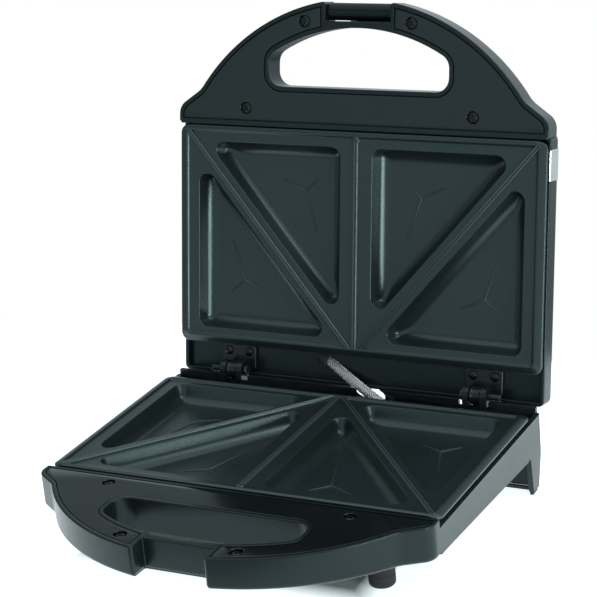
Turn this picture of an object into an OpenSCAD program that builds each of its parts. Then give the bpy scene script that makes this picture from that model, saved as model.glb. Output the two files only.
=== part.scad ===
// Sandwich toaster: two non-stick plates with triangular pockets in a black housing,
// joined by a rear hinge and held shut by a clip on the front handle.
// Drawn standing on its feet with the lid open on its stop.

/* [Plates] */
// Width of each cooking plate over its rim
plate_w = 222; // [218:1:222]
// Depth of each cooking plate over its rim
plate_d = 126; // [122:1:126]
// Depth of the sandwich pockets below the land of the plate
pocket_depth = 9.5; // [8:0.5:10]
// Height of the rim and of the sealing ridges above the land
ridge_h = 1.2; // [0.8:0.1:1.4]
// Gap between the two rims when the lid is shut
rim_gap = 1.2; // [1:0.1:2]

/* [Housing] */
// Width of the housing
body_w = 227; // [227:1:232]
// Wall thickness of the plastic shells
wall = 2.5; // [2:0.1:2.8]
// Height of the lower plate's rim above the table
rim_height = 50; // [50:1:56]
// Thickness of the base's handle
grip_t = 18.5; // [17:0.5:18.5]
// Thickness of the lid's handle
lid_grip_t = 15; // [14.5:0.5:18]

/* [Handle] */
// Radius of the handle's front arch
arch_r = 119; // [117:1:120]
// Front radius of the finger opening
grip_r = 103; // [101:1:104]
// Half the width of the finger opening
grip_half = 55.5; // [50:0.5:56]
// Width of the clip's notch in the handle's front edge
notch_w = 40; // [38:1:42]

/* [Hinge] */
// How far the lid opens
open_angle = 102; // [96:1:104]
// Radius of the hinge pins
pin_r = 2; // [1.8:0.1:2.2]
// Radial running clearance of the pins in the lid's lugs
pin_clear = 0.05; // [0.03:0.01:0.08]

/* [Latch] */
// How far the clip swings from folded back to fastened
latch_angle = 195; // [190:1:195]

/* [Hidden] */
$fn = 48;

plastic = [0.13, 0.14, 0.15];
coating = [0.2, 0.23, 0.24];
steel = [0.75, 0.76, 0.77];

hw = body_w/2;
hinge_y = 79.6;
hinge_z = rim_gap/2;
y_shift = -12;

cover_t = 2.3;      // thickness of the handle cover plates
lip = 2.5;          // width of the housing's lip round a cover plate
base_face = -0.5;   // underside plane of the handle joint, lower half
lid_face = rim_gap + 0.5;
lid_k = rim_gap;    // the lid's parts mirror the base's about z = rim_gap/2
edge_b = -6;        // top edge of the lower housing's side walls
edge_l = 7.2;       // lower edge of the lid's side walls
back_b = 79;        // rear face of the lower housing at its top
back_l = 84;        // rear face of the lid
front_y = -66;      // where the handle meets the plate frame
notch_y = -124.5;   // back wall of the clip's notch
lid_top = 38;
pivot = [-129.75, 9];
screw_xy = [[70, -74], [32.8, -124.2]];
hinge_x = 76.5;
skirt = 2.3;        // how far the plate's flange spreads beyond its rim
sleeve_base = [27, 71, -9.5];
sleeve_lid = [-21, 70, 12];

// ---- handle outline, from arcs that stay tangent at every inset e ----
arc_c = [0, -18];
fillet_r = 16;
corner_r = 9;
slope = 35;
corner_c = [hw - corner_r, -69];
nrm = [sin(slope), -cos(slope)];
dir = [cos(slope), sin(slope)];
f0 = nrm*(nrm*corner_c + corner_r + fillet_r);
q0 = f0 - arc_c;
tb = q0*dir;
tc = q0*q0 - pow(arch_r + fillet_r, 2);
fillet_c = f0 + dir*(-tb + sqrt(tb*tb - tc));
fa = atan2(fillet_c[1] - arc_c[1], fillet_c[0] - arc_c[0]);

function arc(c, r, a0, a1, n=12) = [for (i=[0:n]) [c[0] + r*cos(a0 + (a1-a0)*i/n), c[1] + r*sin(a0 + (a1-a0)*i/n)]];
function mir(p) = [for (i=[len(p)-1:-1:1]) [-p[i][0], p[i][1]]];
function side(e) = concat(arc(arc_c, arch_r - e, -90, fa, 24), arc(fillet_c, fillet_r + e, 180 + fa, 90 + slope, 6),
                          arc(corner_c, corner_r - e, slope - 90, 0, 8));

module handle_2d(e, yb) polygon(concat(side(e), [[hw - e, yb], [-(hw - e), yb]], mir(side(e))));

gc_r = 8;
gc_x = grip_half - gc_r;
gc_y = arc_c[1] - sqrt(pow(grip_r - gc_r, 2) - gc_x*gc_x);
ga = atan2(gc_y - arc_c[1], gc_x);
module grip_2d(e) polygon(concat(
    arc(arc_c, grip_r + e, -180 - ga, ga, 24), arc([gc_x, gc_y], gc_r + e, ga, 0, 6),
    arc([gc_x, -95], gc_r + e, 0, 90, 6), arc([-gc_x, -95], gc_r + e, 90, 180, 6),
    arc([-gc_x, gc_y], gc_r + e, 180, 180 - ga, 6)));
module notch_2d(e) translate([-notch_w/2 - e, -150]) square([notch_w + 2*e, 150 + notch_y + e]);
module cover_2d(e) difference() { handle_2d(e, front_y - 0.8); grip_2d(e); notch_2d(e); }
module rrect(x0, y0, x1, y1, r) translate([x0 + r, y0 + r]) offset(r=r, $fn=32) square([x1-x0-2*r, y1-y0-2*r]);

// ---- placing ----
module in_base() translate([0, y_shift, rim_height]) children();
module in_lid() in_base() translate([0, hinge_y, hinge_z]) rotate([-open_angle, 0, 0]) translate([0, -hinge_y, -hinge_z]) children();
// draws a lower part as its upper twin
module flip() translate([0, 0, lid_k]) mirror([0, 0, 1]) children();

// ---- shared parts, drawn for the lower half ----
module screw(r, head_r, head_h, len) {
    difference() {
        translate([0, 0, -head_h]) cylinder(r=head_r, h=head_h);
        translate([-head_r*0.6, -0.45, -1]) cube([head_r*1.2, 0.9, 2]);
        translate([-0.45, -head_r*0.6, -1]) cube([0.9, head_r*1.2, 2]);
    }
    translate([0, 0, -len]) cylinder(r=r, h=len - head_h);
}

module handle_shell(depth) {
    // solid block with the cover's seat and the hollow behind it; top face at z = 0
    difference() {
        translate([0, 0, -depth]) linear_extrude(depth) handle_2d(0, front_y + 2.2);
        translate([0, 0, -cover_t]) linear_extrude(cover_t + 1) cover_2d(lip);
        translate([0, 0, -depth + wall]) linear_extrude(depth) cover_2d(lip + 2);
        translate([0, 0, -depth - 1]) linear_extrude(depth + 2) grip_2d(0);
        translate([0, 0, -depth - 1]) linear_extrude(depth + 2) notch_2d(0);
    }
}
module handle_posts(depth) for (s=[-1, 1]) for (p=screw_xy)
    translate([s*p[0], p[1], -depth + 0.5]) cylinder(r=4, h=depth - 0.5 - cover_t);
module handle_holes() for (s=[-1, 1]) for (p=screw_xy)
    translate([s*p[0], p[1], -13]) cylinder(r=1.52, h=14);

module cover() {
    difference() {
        translate([0, 0, -cover_t]) linear_extrude(cover_t - 0.15) cover_2d(lip + 0.35);
        for (s=[-1, 1]) for (p=screw_xy) translate([s*p[0], p[1], -5]) {
            cylinder(r=1.8, h=6);
            translate([0, 0, 5 - 1.5]) cylinder(r=3.4, h=3);
        }
    }
}
module cover_screws() for (s=[-1, 1]) for (p=screw_xy) translate([s*p[0], p[1], -0.35]) screw(1.5, 3, 1.15, 11);

// ---- plate ----
diag0 = [-109, -61];
diag1 = [-3, 61];
du = (diag1 - diag0)/norm(diag1 - diag0);
dn = [du[1], -du[0]];
// where the line at distance k from the diagonal meets x = a or y = b
function at_x(k, a) = [a, diag0[1] + (dn[0]*(a - diag0[0]) - k)/(-dn[1])];
function at_y(k, b) = [diag0[0] + (k - dn[1]*(b - diag0[1]))/dn[0], b];
pocket_a = [at_y(5, -54), [-10, -54], at_x(5, -10)];
pocket_b = [at_x(-5, -101), at_y(-5, 56), [-101, 56]];
module pocket_2d(p, e) offset(r=e, $fn=32) offset(delta=-5.5) polygon(p);
module pocket_cut(p) hull($fn=32) {
    translate([0, 0, 0]) linear_extrude(0.1) pocket_2d(p, 5.5);
    translate([0, 0, -pocket_depth]) linear_extrude(0.1) pocket_2d(p, 1.5);
}
module plate() {
    land = -ridge_h;
    px = plate_w/2;
    py = plate_d/2;
    difference() {
        union() {
            translate([0, 0, land - 2.2]) linear_extrude(2.2) rrect(-px + 1, -py + 1, px - 1, py - 1, 4);
            // rim
            translate([0, 0, -5.5]) linear_extrude(5.5) difference() { rrect(-px, -py, px, py, 5); rrect(-px + 3, -py + 3, px - 3, py - 3, 3); }
            // flange that spreads outwards below the rim
            difference() {
                intersection() {
                    rotate([90, 0, 0]) translate([0, 0, -80]) linear_extrude(160) polygon([[-px - skirt, -2.8], [px + skirt, -2.8], [px + skirt, -1.6], [px - 0.2, -0.4], [-px + 0.2, -0.4], [-px - skirt, -1.6]]);
                    rotate([90, 0, 90]) translate([0, 0, -120]) linear_extrude(240) polygon([[-py, -2.8], [py + skirt, -2.8], [py + skirt, -1.6], [py - 0.2, -0.4], [-py, -0.4]]);
                    translate([0, 0, -8]) linear_extrude(8) rrect(-px - skirt, -py, px + skirt, py + skirt, 5.5);
                }
                translate([0, 0, -8]) linear_extrude(9) rrect(-px + 3, -py + 3, px - 3, py - 3, 3);
            }
            // spigot that stands on the housing's ledge
            translate([0, 0, -9.5]) linear_extrude(7) difference() { rrect(-px + 4, -py + 2.2, px - 4, py - 2.2, 3); rrect(-px + 6.5, -py + 4.4, px - 6.5, py - 4.4, 2); }
            // basins
            for (s=[0, 1]) mirror([s, 0, 0]) for (p=[pocket_a, pocket_b])
                translate([0, 0, land - pocket_depth - 2]) linear_extrude(pocket_depth + 1.9) pocket_2d(p, 7);
            // sealing ridges
            translate([-1.7, -py + 1, land - 0.1]) cube([3.4, plate_d - 2, ridge_h + 0.1]);
            for (s=[0, 1]) mirror([s, 0, 0]) translate([diag0[0], diag0[1], land - 0.1]) rotate([0, 0, atan2(du[1], du[0])])
                translate([0, -1.5, 0]) cube([norm(diag1 - diag0), 3, ridge_h + 0.1]);
            // posts for the reflector
            for (y=[-46, 46]) translate([0, y, -22.2]) cylinder(r=4, h=20.5);
        }
        for (s=[0, 1]) mirror([s, 0, 0]) for (p=[pocket_a, pocket_b]) translate([0, 0, land]) pocket_cut(p);
        for (y=[-46, 46]) translate([0, y, -23]) cylinder(r=1.52, h=12);
    }
}

elem_z = -18.6;
elem_r = 3.2;
module element() {
    for (y=[-32, 32]) {
        translate([-56, y, elem_z]) rotate([0, 90, 0]) cylinder(r=elem_r, h=138);
        translate([82, y, elem_z]) rotate([0, 90, 0]) cylinder(r=1.6, h=12);
    }
    translate([-56, 0, elem_z]) rotate([0, 0, 90]) rotate_extrude(angle=180) translate([32, 0]) circle(r=elem_r);
}
// straps that hold the element down to the reflector
module element_clips() for (x=[-30, 40]) for (y=[-32, 32]) translate([x, y, 0]) difference() {
    translate([-4, -6.5, -22.2]) cube([8, 13, 7.6]);
    translate([-5, 0, elem_z]) rotate([0, 90, 0]) cylinder(r=elem_r + 0.05, h=10);
    translate([-5, -elem_r - 0.05, -23]) cube([10, 2*elem_r + 0.1, 23 + elem_z]);
    for (k=[-1, 1]) translate([-5, k*8.6 - 3, -21.6]) cube([10, 6, 9]);
}
module reflector() difference() {
    translate([-94, -52, -22.75]) cube([188, 104, 3.5]);
    translate([-93.5, -51.5, -22.25]) cube([187, 103, 4]);
    for (y=[-46, 46]) translate([0, y, -24]) cylinder(r=1.8, h=4);
    for (y=[-32, 32]) translate([90, y, elem_z]) rotate([0, 90, 0]) cylinder(r=2.4, h=6);
}
module plate_screws() for (y=[-46, 46]) translate([0, y, -22.75]) rotate([180, 0, 0]) translate([0, 0, 1.6]) screw(1.5, 3, 1.6, 11);

// ---- base ----
leg_in = 24;
foot_z = -48;
// height of the side walls' lower edge, which falls towards the back
function low(y) = -19.2 - 0.048*(y + 74);
// side view of the lower housing, drawn in by t
module side_profile(t) polygon([[front_y + (t > 0 ? 2.2 : 0), edge_b + 5*t], [front_y + (t > 0 ? 2.2 : 0), low(front_y) - 5*t],
    [57.5 + 0.2*t, low(57.5) - (t > 0 ? 60 : 0)], [58.8 + 0.2*t, low(57.5) + 0.9 - (t > 0 ? 60 : 0)], [60.4, low(57.5) + 0.4 - (t > 0 ? 60 : 0)], [61.2, low(57.5) - 1.2 - (t > 0 ? 60 : 0)],
    [66.5, foot_z - (t > 0 ? 30 : 0)], [74.6 - t, foot_z - (t > 0 ? 30 : 0)], [back_b - t, -12], [back_b - t, edge_b + 5*t]]);
module wall_ring() difference() {
    intersection() {
        rotate([90, 0, 90]) translate([0, 0, -hw]) linear_extrude(body_w) side_profile(0);
        translate([0, 0, -60]) linear_extrude(80) union() {
            translate([-hw, front_y]) square([body_w, 40]);
            rrect(-hw, front_y, hw, back_b, 2.6);
        }
    }
    intersection() {
        rotate([90, 0, 90]) translate([0, 0, -hw]) linear_extrude(body_w) side_profile(wall);
        translate([0, 0, -70]) linear_extrude(90) rrect(-hw + wall, front_y + 2.2, hw - wall, back_b - wall, 1);
    }
    // the rear wall stops above the table between the legs
    translate([-hw + leg_in, 60, -60]) cube([body_w - 2*leg_in, 30, 60 - 26]);
}
module ear(x0) difference() {
    union() {
        translate([x0, hinge_y, hinge_z]) rotate([0, 90, 0]) cylinder(r=5.4, h=3.5);
        translate([x0, 74.2, -14]) cube([3.5, 6.2, 14 + hinge_z]);
    }
    translate([x0 - 1, hinge_y, hinge_z]) rotate([0, 90, 0]) cylinder(r=pin_r + 0.02, h=6);
}
gland_at = [58, -17.5];
module base_housing() color(plastic) in_base() difference() {
    union() {
        translate([0, 0, base_face]) handle_shell(grip_t);
        translate([0, 0, base_face]) intersection() { handle_posts(grip_t); translate([-200, -200, -grip_t]) cube([400, 400, grip_t]); }
        wall_ring();
        // ledge that carries the plate
        translate([0, 0, -12]) linear_extrude(2.5) difference() {
            rrect(-hw + 1, front_y + 1, hw - 1, back_b - 1, 4);
            rrect(-104, -60, 104, 60, 3);
            translate([-104, 59]) square([2, 2]);
        }
        // screw posts for the bottom cover
        for (s=[-1, 1]) for (y=[-44, 52]) translate([s*107.4, y, low(y) + 2.6]) cylinder(r=3.4, h=-11.8 - low(y) - 2.6);
        // raised top of the rear wall beside and between the hinges
        for (x=[[-112, -84.2], [-66.6, 66.6], [84.2, 112]]) translate([x[0], back_b - wall, edge_b - 1]) cube([x[1] - x[0], wall, 1 - edge_b - 1.8]);
        // hinge ears
        for (s=[0, 1]) mirror([s, 0, 0]) { ear(69.5); ear(80); }
    }
    translate([0, 0, base_face]) handle_holes();
    for (s=[-1, 1]) for (y=[-44, 52]) translate([s*107.4, y, low(y) - 1]) cylinder(r=1.42, h=9.5);
    // slot for the cord gland, open at the rear wall's lower edge
    translate([gland_at[0] - 4.9, 70, -30]) cube([9.8, 20, 30 + gland_at[1] + 4.9]);
    // passage for the wiring sleeve
    sleeve_bore(4.6, 12, 30, sleeve_base, sleeve_lid_w());
}
module base_handle_cover() color(plastic) in_base() translate([0, 0, base_face]) cover();
module base_handle_screws() color(steel) in_base() translate([0, 0, base_face]) cover_screws();
module lower_plate() color(coating) in_base() plate();
module lower_element() color([0.3, 0.28, 0.26]) in_base() element();
module lower_element_clips() color(steel) in_base() element_clips();
module lower_reflector() color([0.8, 0.8, 0.78]) in_base() reflector();
module lower_plate_screws() color(steel) in_base() plate_screws();
// shallow pan with sloping walls, drawn in by t
module pan(t) intersection() {
    rotate([90, 0, 0]) translate([0, 0, -90]) linear_extrude(180) polygon([[-98 + t, -20.6 + 3*t], [-98 + t, -23], [-86 + t, -34 + t], [86 - t, -34 + t], [98 - t, -23], [98 - t, -20.6 + 3*t]]);
    rotate([90, 0, 90]) translate([0, 0, -110]) linear_extrude(220) polygon([[-57 + t, -20.6 + 3*t], [-57 + t, -23], [-45 + t, -34 + t], [71 - t, -34 + t], [71 - t, -20.6 + 3*t]]);
    translate([0, 0, -40]) linear_extrude(60) rrect(-98 + t, -57 + t, 98 - t, 71 - t, 8 - t/2);
}
module bottom_cover() color(plastic) in_base() difference() {
    union() {
        // flange that closes the shell along its sloping edge
        intersection() {
            rotate([90, 0, 90]) translate([0, 0, -hw]) linear_extrude(body_w) polygon([[front_y, low(front_y)], [75.5, low(75.5)], [75.5, low(75.5) + 2.2], [front_y, low(front_y) + 2.2]]);
            translate([0, 0, -40]) linear_extrude(40) rrect(-hw + wall + 0.3, front_y + 2.5, hw - wall - 0.3, back_b - wall - 1.2, 3);
        }
        pan(0);
        for (s=[-1, 1]) translate([s*73, -50, -34]) cylinder(r=8.6, h=9);
    }
    pan(2.2);
    for (s=[-1, 1]) for (y=[-44, 52]) translate([s*107.4, y, -40]) cylinder(r=1.8, h=30);
    // cooling slots
    for (x=[-40:10:40]) translate([x - 1.5, -20, -36]) cube([3, 36, 5]);
    for (s=[-1, 1]) translate([s*73, -50, -36]) cylinder(r=2.52, h=6);
}
module bottom_cover_screws() color(steel) in_base() for (s=[-1, 1]) for (y=[-44, 52])
    translate([s*107.4, y, low(y) - 0.3]) rotate([180, 0, 0]) translate([0, 0, 1.6]) screw(1.4, 2.9, 1.6, 9.5);
module front_feet() color([0.06, 0.06, 0.06]) in_base() for (s=[-1, 1]) translate([s*73, -50, -50]) {
    rotate_extrude() polygon([[0, 0], [6.6, 0], [7.5, 0.9], [7.5, 14.4], [8.3, 15.2], [8.3, 16], [0, 16]]);
    cylinder(r=2.5, h=19.5);
}
module rear_foot_pads() color([0.06, 0.06, 0.06]) in_base() for (s=[0, 1]) mirror([s, 0, 0]) translate([0, 0, -50]) {
    translate([hw - wall + 0.2, 66.9, 0]) cube([wall - 0.4, 7.3, 50 + foot_z]);
    translate([hw - leg_in + 0.4, 72.3, 0]) cube([leg_in - 1, 1.9, 50 + foot_z]);
}
module hinge_pins() color(steel) in_base() for (s=[0, 1]) mirror([s, 0, 0]) {
    translate([68.8, hinge_y, hinge_z]) rotate([0, 90, 0]) cylinder(r=pin_r, h=22);
    translate([67.3, hinge_y, hinge_z]) rotate([0, 90, 0]) cylinder(r=3.4, h=1.6);
}
module cord_gland() color([0.05, 0.05, 0.05]) in_base() translate([gland_at[0], 0, gland_at[1]]) rotate([-90, 0, 0]) difference() {
    union() {
        translate([0, 0, 71]) cylinder(r=4.8, h=12);
        translate([0, 0, back_b + 0.02]) cylinder(r=6.8, h=3);
        translate([0, 0, 71]) cylinder(r=5.2, h=4);
        // tongue that fills the slot below the cord
        translate([-4.85, -4.85, 75.6]) cube([9.7, 13.2, back_b + 0.02 - 75.6]);
    }
    translate([0, 0, 60]) cylinder(r=3.7, h=40);
}
module terminal_block() color([0.85, 0.83, 0.78]) in_base() difference() {
    translate([46, 55, -31.7]) cube([26, 10, 9]);
    for (x=[50:6:68]) translate([x, 60, -26]) cylinder(r=1.7, h=5);
}
module wire(a, b, r) {
    d = b - a;
    translate(a) rotate([0, acos(d[2]/norm(d)), atan2(d[1], d[0])]) cylinder(r=r, h=norm(d), $fn=16);
}
module base_wires() color([0.6, 0.1, 0.08]) in_base() {
    for (x=[56, 60]) wire([x, 69.8, -17.5], [x, 62, -21.7], 1.1);
    wire([44.8, 60, -26], [34, 66, -18], 1.1);
    wire([44.8, 57, -29], [32, 62, -18], 1.1);
}

// ---- sleeve between base and lid ----
function turn(p, a) = let (y=p[1] - hinge_y, z=p[2] - hinge_z) [p[0], hinge_y + y*cos(a) - z*sin(a), hinge_z + y*sin(a) + z*cos(a)];
function sleeve_lid_w() = turn(sleeve_lid, -open_angle);
// cylinder of radius r round the line from a towards b, starting back behind a
module sleeve_bore(r, back, ahead, a, b) {
    d = b - a;
    translate(a) rotate([0, acos(d[2]/norm(d)), atan2(d[1], d[0])]) translate([0, 0, -back]) cylinder(r=r, h=back + ahead);
}
module collar(a, b) {
    d = b - a;
    translate(a) rotate([0, acos(d[2]/norm(d)), atan2(d[1], d[0])]) translate([0, 0, -5]) difference() {
        cylinder(r=4.5, h=7.5);
        translate([0, 0, -1]) cylinder(r=3.05, h=12);
    }
}
module base_sleeve_collar() color([0.05, 0.05, 0.05]) in_base() collar(sleeve_base, sleeve_lid_w());
module lid_sleeve_collar() color([0.05, 0.05, 0.05]) in_base() collar(sleeve_lid_w(), sleeve_base);
module wiring_sleeve() color([0.8, 0.8, 0.8]) in_base() {
    a = sleeve_base; b = sleeve_lid_w(); d = b - a;
    translate(a) rotate([0, acos(d[2]/norm(d)), atan2(d[1], d[0])]) translate([0, 0, -4]) cylinder(r=3, h=norm(d) + 8);
}

// ---- lid ----
// section of the lid across its width, grown by g, from height z0 up
function across(g, z0) = [[-hw - g, z0], [hw + g, z0], [hw + g, 20], [99 + g, lid_top + g], [-99 - g, lid_top + g], [-hw - g, 20]];
module dome(e, z0) intersection() {
    translate([0, 120, 0]) rotate([90, 0, 0]) linear_extrude(240) polygon(across(-e, z0));
    rotate([90, 0, 90]) translate([0, 0, -120]) linear_extrude(240) polygon([[front_y + e, z0], [back_l - e, z0], [back_l - e, 20],
        [74 - e, lid_top - e], [-63 + e, lid_top - e], [front_y + e, 20]]);
    translate([0, 0, z0]) linear_extrude(60) rrect(-hw + e, front_y + e, hw - e, back_l - e, 3.4 - e);
}
post_xy = [[71, 70], [84, 70]];
module lid_housing() color(plastic) in_lid() difference() {
    union() {
        flip() translate([0, 0, base_face]) handle_shell(lid_grip_t);
        flip() translate([0, 0, base_face]) intersection() { handle_posts(lid_grip_t); translate([-200, -200, -lid_grip_t]) cube([400, 400, lid_grip_t]); }
        // bosses for the clip's pin
        for (s=[-1, 1]) translate([s*22 - 2, pivot[0], pivot[1]]) rotate([0, 90, 0]) cylinder(r=3.6, h=4);
        difference() {
            dome(0, edge_l);
            dome(wall, edge_l - 1);
        }
        // front wall down to the handle face, and the ledge that carries the plate
        translate([-hw + 0.5, front_y, lid_face + 0.01]) cube([body_w - 1, 2.2, 8]);
        flip() translate([0, 0, -12]) linear_extrude(2.5) difference() {
            rrect(-hw + 1, front_y + 1, hw - 1, back_l - 1, 4);
            rrect(-104, -60, 104, 60, 3);
            translate([-104, 59]) square([2, 2]);
        }
        // posts for the hinge brackets
        for (s=[-1, 1]) for (p=post_xy) translate([s*p[0], p[1], 12]) cylinder(r=3.2, h=14);
    }
    flip() translate([0, 0, base_face]) handle_holes();
    for (s=[-1, 1]) for (p=post_xy) translate([s*p[0], p[1], 9]) cylinder(r=1.52, h=13);
    translate([-24.2, pivot[0], pivot[1]]) rotate([0, 90, 0]) cylinder(r=1.52, h=48.4);
    for (s=[-1, 1]) translate([s*14, -49.5, 30]) cylinder(r=4.05, h=12);
    unlid() sleeve_bore(4.6, 12, 14, sleeve_lid_w(), sleeve_base);
}
module unlid() translate([0, hinge_y, hinge_z]) rotate([open_angle, 0, 0]) translate([0, -hinge_y, -hinge_z]) children();
module lid_handle_cover() color(plastic) in_lid() flip() translate([0, 0, base_face]) cover();
module lid_handle_screws() color(steel) in_lid() flip() translate([0, 0, base_face]) cover_screws();
module upper_plate() color(coating) in_lid() flip() plate();
module upper_element() color([0.3, 0.28, 0.26]) in_lid() flip() element();
module upper_element_clips() color(steel) in_lid() flip() element_clips();
module upper_reflector() color([0.8, 0.8, 0.78]) in_lid() flip() reflector();
module upper_plate_screws() color(steel) in_lid() flip() plate_screws();
module lug() difference() {
    union() {
        translate([73.4, hinge_y, hinge_z]) rotate([0, 90, 0]) cylinder(r=5, h=6.2);
        translate([73.4, 75.4, hinge_z]) cube([6.2, 5.6, 10]);
        // heel that meets the back of the base when the lid is fully open
        translate([73.4, 0, 0]) rotate([90, 0, 90]) linear_extrude(6.2) polygon([[hinge_y + 2, hinge_z - 1], heel(0.3, -2), heel(0.3, -9), heel(2.8, -9), heel(3.6, -2.5), [hinge_y + 1, hinge_z + 4.5]]);
    }
    translate([60, hinge_y, hinge_z]) rotate([0, 90, 0]) cylinder(r=pin_r + pin_clear, h=40);
}
// a point at (dy, dz) from the base's rear face and the hinge axis, seen in the shut lid
function heel(dy, dz) = let (p=turn([0, back_b + dy, hinge_z + dz], open_angle)) [p[1], p[2]];
module lid_hinge_brackets() color([0.3, 0.31, 0.32]) in_lid() for (s=[0, 1]) mirror([s, 0, 0]) {
    difference() {
        union() {
            lug();
            translate([66.5, 65.5, 8.5]) cube([22, 15.5, 2.2]);
        }
        for (p=post_xy) translate([p[0], p[1], 5]) cylinder(r=1.7, h=10);
        translate([60, hinge_y, hinge_z]) rotate([0, 90, 0]) cylinder(r=pin_r + pin_clear, h=40);
    }
}
module lid_hinge_screws() color(steel) in_lid() for (s=[-1, 1]) for (p=post_xy)
    translate([s*p[0], p[1], 8.5]) rotate([180, 0, 0]) translate([0, 0, 1.6]) screw(1.5, 2.7, 1.6, 12);
module lid_trim_band() color(steel) in_lid() difference() {
    translate([0, -41, 0]) rotate([90, 0, 0]) linear_extrude(17) difference() {
        union() {
            polygon(across(0.6, edge_l - 0.4));
            for (s=[-1, 1]) translate([s*(hw - 0.7) - 1.3, edge_l - 1.2]) square([2.6, 1.2]);
        }
        polygon(across(0.03, edge_l - 0.03));
        translate([-hw + 1.2, edge_l - 3]) square([body_w - 2.4, 4]);
    }
    for (s=[-1, 1]) translate([s*14, -49.5, 30]) cylinder(r=4.05, h=12);
}
module lens() rotate_extrude() polygon([[2.6, 0], [4, 0], [4, 5.3], [5.2, 5.3], [5.2, 5.9], [4.2, 6.7], [0, 7.1], [0, 5], [2.6, 5]]);
module power_lens() color([0.75, 0.08, 0.05]) in_lid() translate([-14, -49.5, lid_top - 4.6]) lens();
module ready_lens() color([0.1, 0.6, 0.15]) in_lid() translate([14, -49.5, lid_top - 4.6]) lens();
module indicator_lamps() color([0.9, 0.75, 0.6]) in_lid() for (s=[-1, 1]) translate([s*14, -49.5, 28]) { cylinder(r=2.4, h=7); translate([0, 0, 7]) sphere(r=2.4); }
module thermostat() color(steel) in_lid() translate([0, -12, 4.65]) { cylinder(r=6.8, h=4); translate([0, 0, 3.9]) cylinder(r=5.4, h=5); }
module thermal_fuse() color(steel) in_lid() translate([0, 12, 7.1]) rotate([-90, 0, 0]) { cylinder(r=2.2, h=14); translate([0, 0, -5]) cylinder(r=0.6, h=24); }
module lid_wires() color([0.6, 0.1, 0.08]) in_lid() for (s=[-1, 1]) {
    wire([-20 + s*3, 66, 20], [-20 + s*3, 57.6, 29], 1.1);
    wire([-20 + s*3.2, 59.5, 28], [s*14, -44.5, 29], 1.1);
}
module latch_pin() color(steel) in_lid() translate([-24, pivot[0], pivot[1]]) rotate([0, 90, 0]) cylinder(r=1.5, h=48);

module latch_clip() color(plastic) in_lid() translate([0, pivot[0], pivot[1]]) rotate([-latch_angle, 0, 0]) translate([0, -pivot[0], -pivot[1]]) difference() {
    union() {
        translate([-19.4, pivot[0], pivot[1]]) rotate([0, 90, 0]) cylinder(r=4.9, h=38.8);
        // rib that rests on the notch's edge when the clip is folded back
        translate([-15, -131.4, -5.5]) cube([30, 2, 3]);
        translate([-17, 0, 0]) rotate([90, 0, 90]) linear_extrude(34) polygon([[-130, 9], [-130, -21.4], [-128.6, -23], [-123.6, -23], [-121.9, -21], [-121.9, -19.8],
            [-125.6, -19.8], [-125.6, 9]]);
    }
    translate([-30, pivot[0], pivot[1]]) rotate([0, 90, 0]) cylinder(r=1.55, h=60);
}

base_housing();
base_handle_cover();
base_handle_screws();
lower_plate();
lower_element();
lower_element_clips();
lower_reflector();
lower_plate_screws();
bottom_cover();
bottom_cover_screws();
front_feet();
rear_foot_pads();
hinge_pins();
cord_gland();
terminal_block();
base_wires();
base_sleeve_collar();
wiring_sleeve();
lid_housing();
lid_handle_cover();
lid_handle_screws();
upper_plate();
upper_element();
upper_element_clips();
upper_reflector();
upper_plate_screws();
lid_hinge_brackets();
lid_hinge_screws();
lid_trim_band();
power_lens();
ready_lens();
indicator_lamps();
thermostat();
thermal_fuse();
lid_wires();
lid_sleeve_collar();
latch_pin();
latch_clip();
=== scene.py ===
import bpy
import bmesh
import math
import numpy as np
from mathutils import Matrix, Vector
from mathutils.geometry import delaunay_2d_cdt

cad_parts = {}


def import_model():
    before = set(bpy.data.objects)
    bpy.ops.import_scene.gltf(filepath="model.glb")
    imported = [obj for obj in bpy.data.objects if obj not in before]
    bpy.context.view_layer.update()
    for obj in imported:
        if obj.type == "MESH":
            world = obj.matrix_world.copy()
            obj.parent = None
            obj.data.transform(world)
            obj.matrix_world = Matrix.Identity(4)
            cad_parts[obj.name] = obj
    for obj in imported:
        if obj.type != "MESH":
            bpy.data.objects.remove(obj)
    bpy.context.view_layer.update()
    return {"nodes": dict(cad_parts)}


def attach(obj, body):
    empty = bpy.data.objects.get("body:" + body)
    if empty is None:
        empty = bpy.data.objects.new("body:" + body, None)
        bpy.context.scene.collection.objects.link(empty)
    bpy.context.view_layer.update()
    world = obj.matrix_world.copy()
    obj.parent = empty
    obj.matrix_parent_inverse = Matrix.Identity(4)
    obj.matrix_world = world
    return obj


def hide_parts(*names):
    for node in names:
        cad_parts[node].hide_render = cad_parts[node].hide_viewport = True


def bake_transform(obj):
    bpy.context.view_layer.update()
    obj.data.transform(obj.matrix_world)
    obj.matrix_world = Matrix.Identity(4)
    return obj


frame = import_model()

SCENE = bpy.context.scene

# ---------------------------------------------------------------- camera
# millimetres in the housing's own frame: y back, z up from the lower plate's rim
YS, ZS = -12.0, 50.0
HY, HZ, OPEN = 79.6, 0.6, 102.0
LK = 1.2


def camera():
    back = Vector((0.4421, -0.8283, 0.3442)).normalized()
    right = Vector((0.8822, 0.4709, 0.0)).normalized()
    up = back.cross(right)
    r = math.radians(-5.28)
    r2 = right * math.cos(r) + up * math.sin(r)
    u2 = -right * math.sin(r) + up * math.cos(r)
    data = bpy.data.cameras.new("camera")
    data.sensor_width = 36.0
    data.lens = 121.8
    data.clip_start, data.clip_end = 0.05, 20.0
    cam = bpy.data.objects.new("camera", data)
    SCENE.collection.objects.link(cam)
    m = Matrix((r2, u2, back)).transposed().to_4x4()
    m.translation = Vector((479.5, -874.1 + YS, 445.4 + ZS)) / 1000
    cam.matrix_world = m
    SCENE.camera = cam


camera()

# ---------------------------------------------------------------- materials


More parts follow.
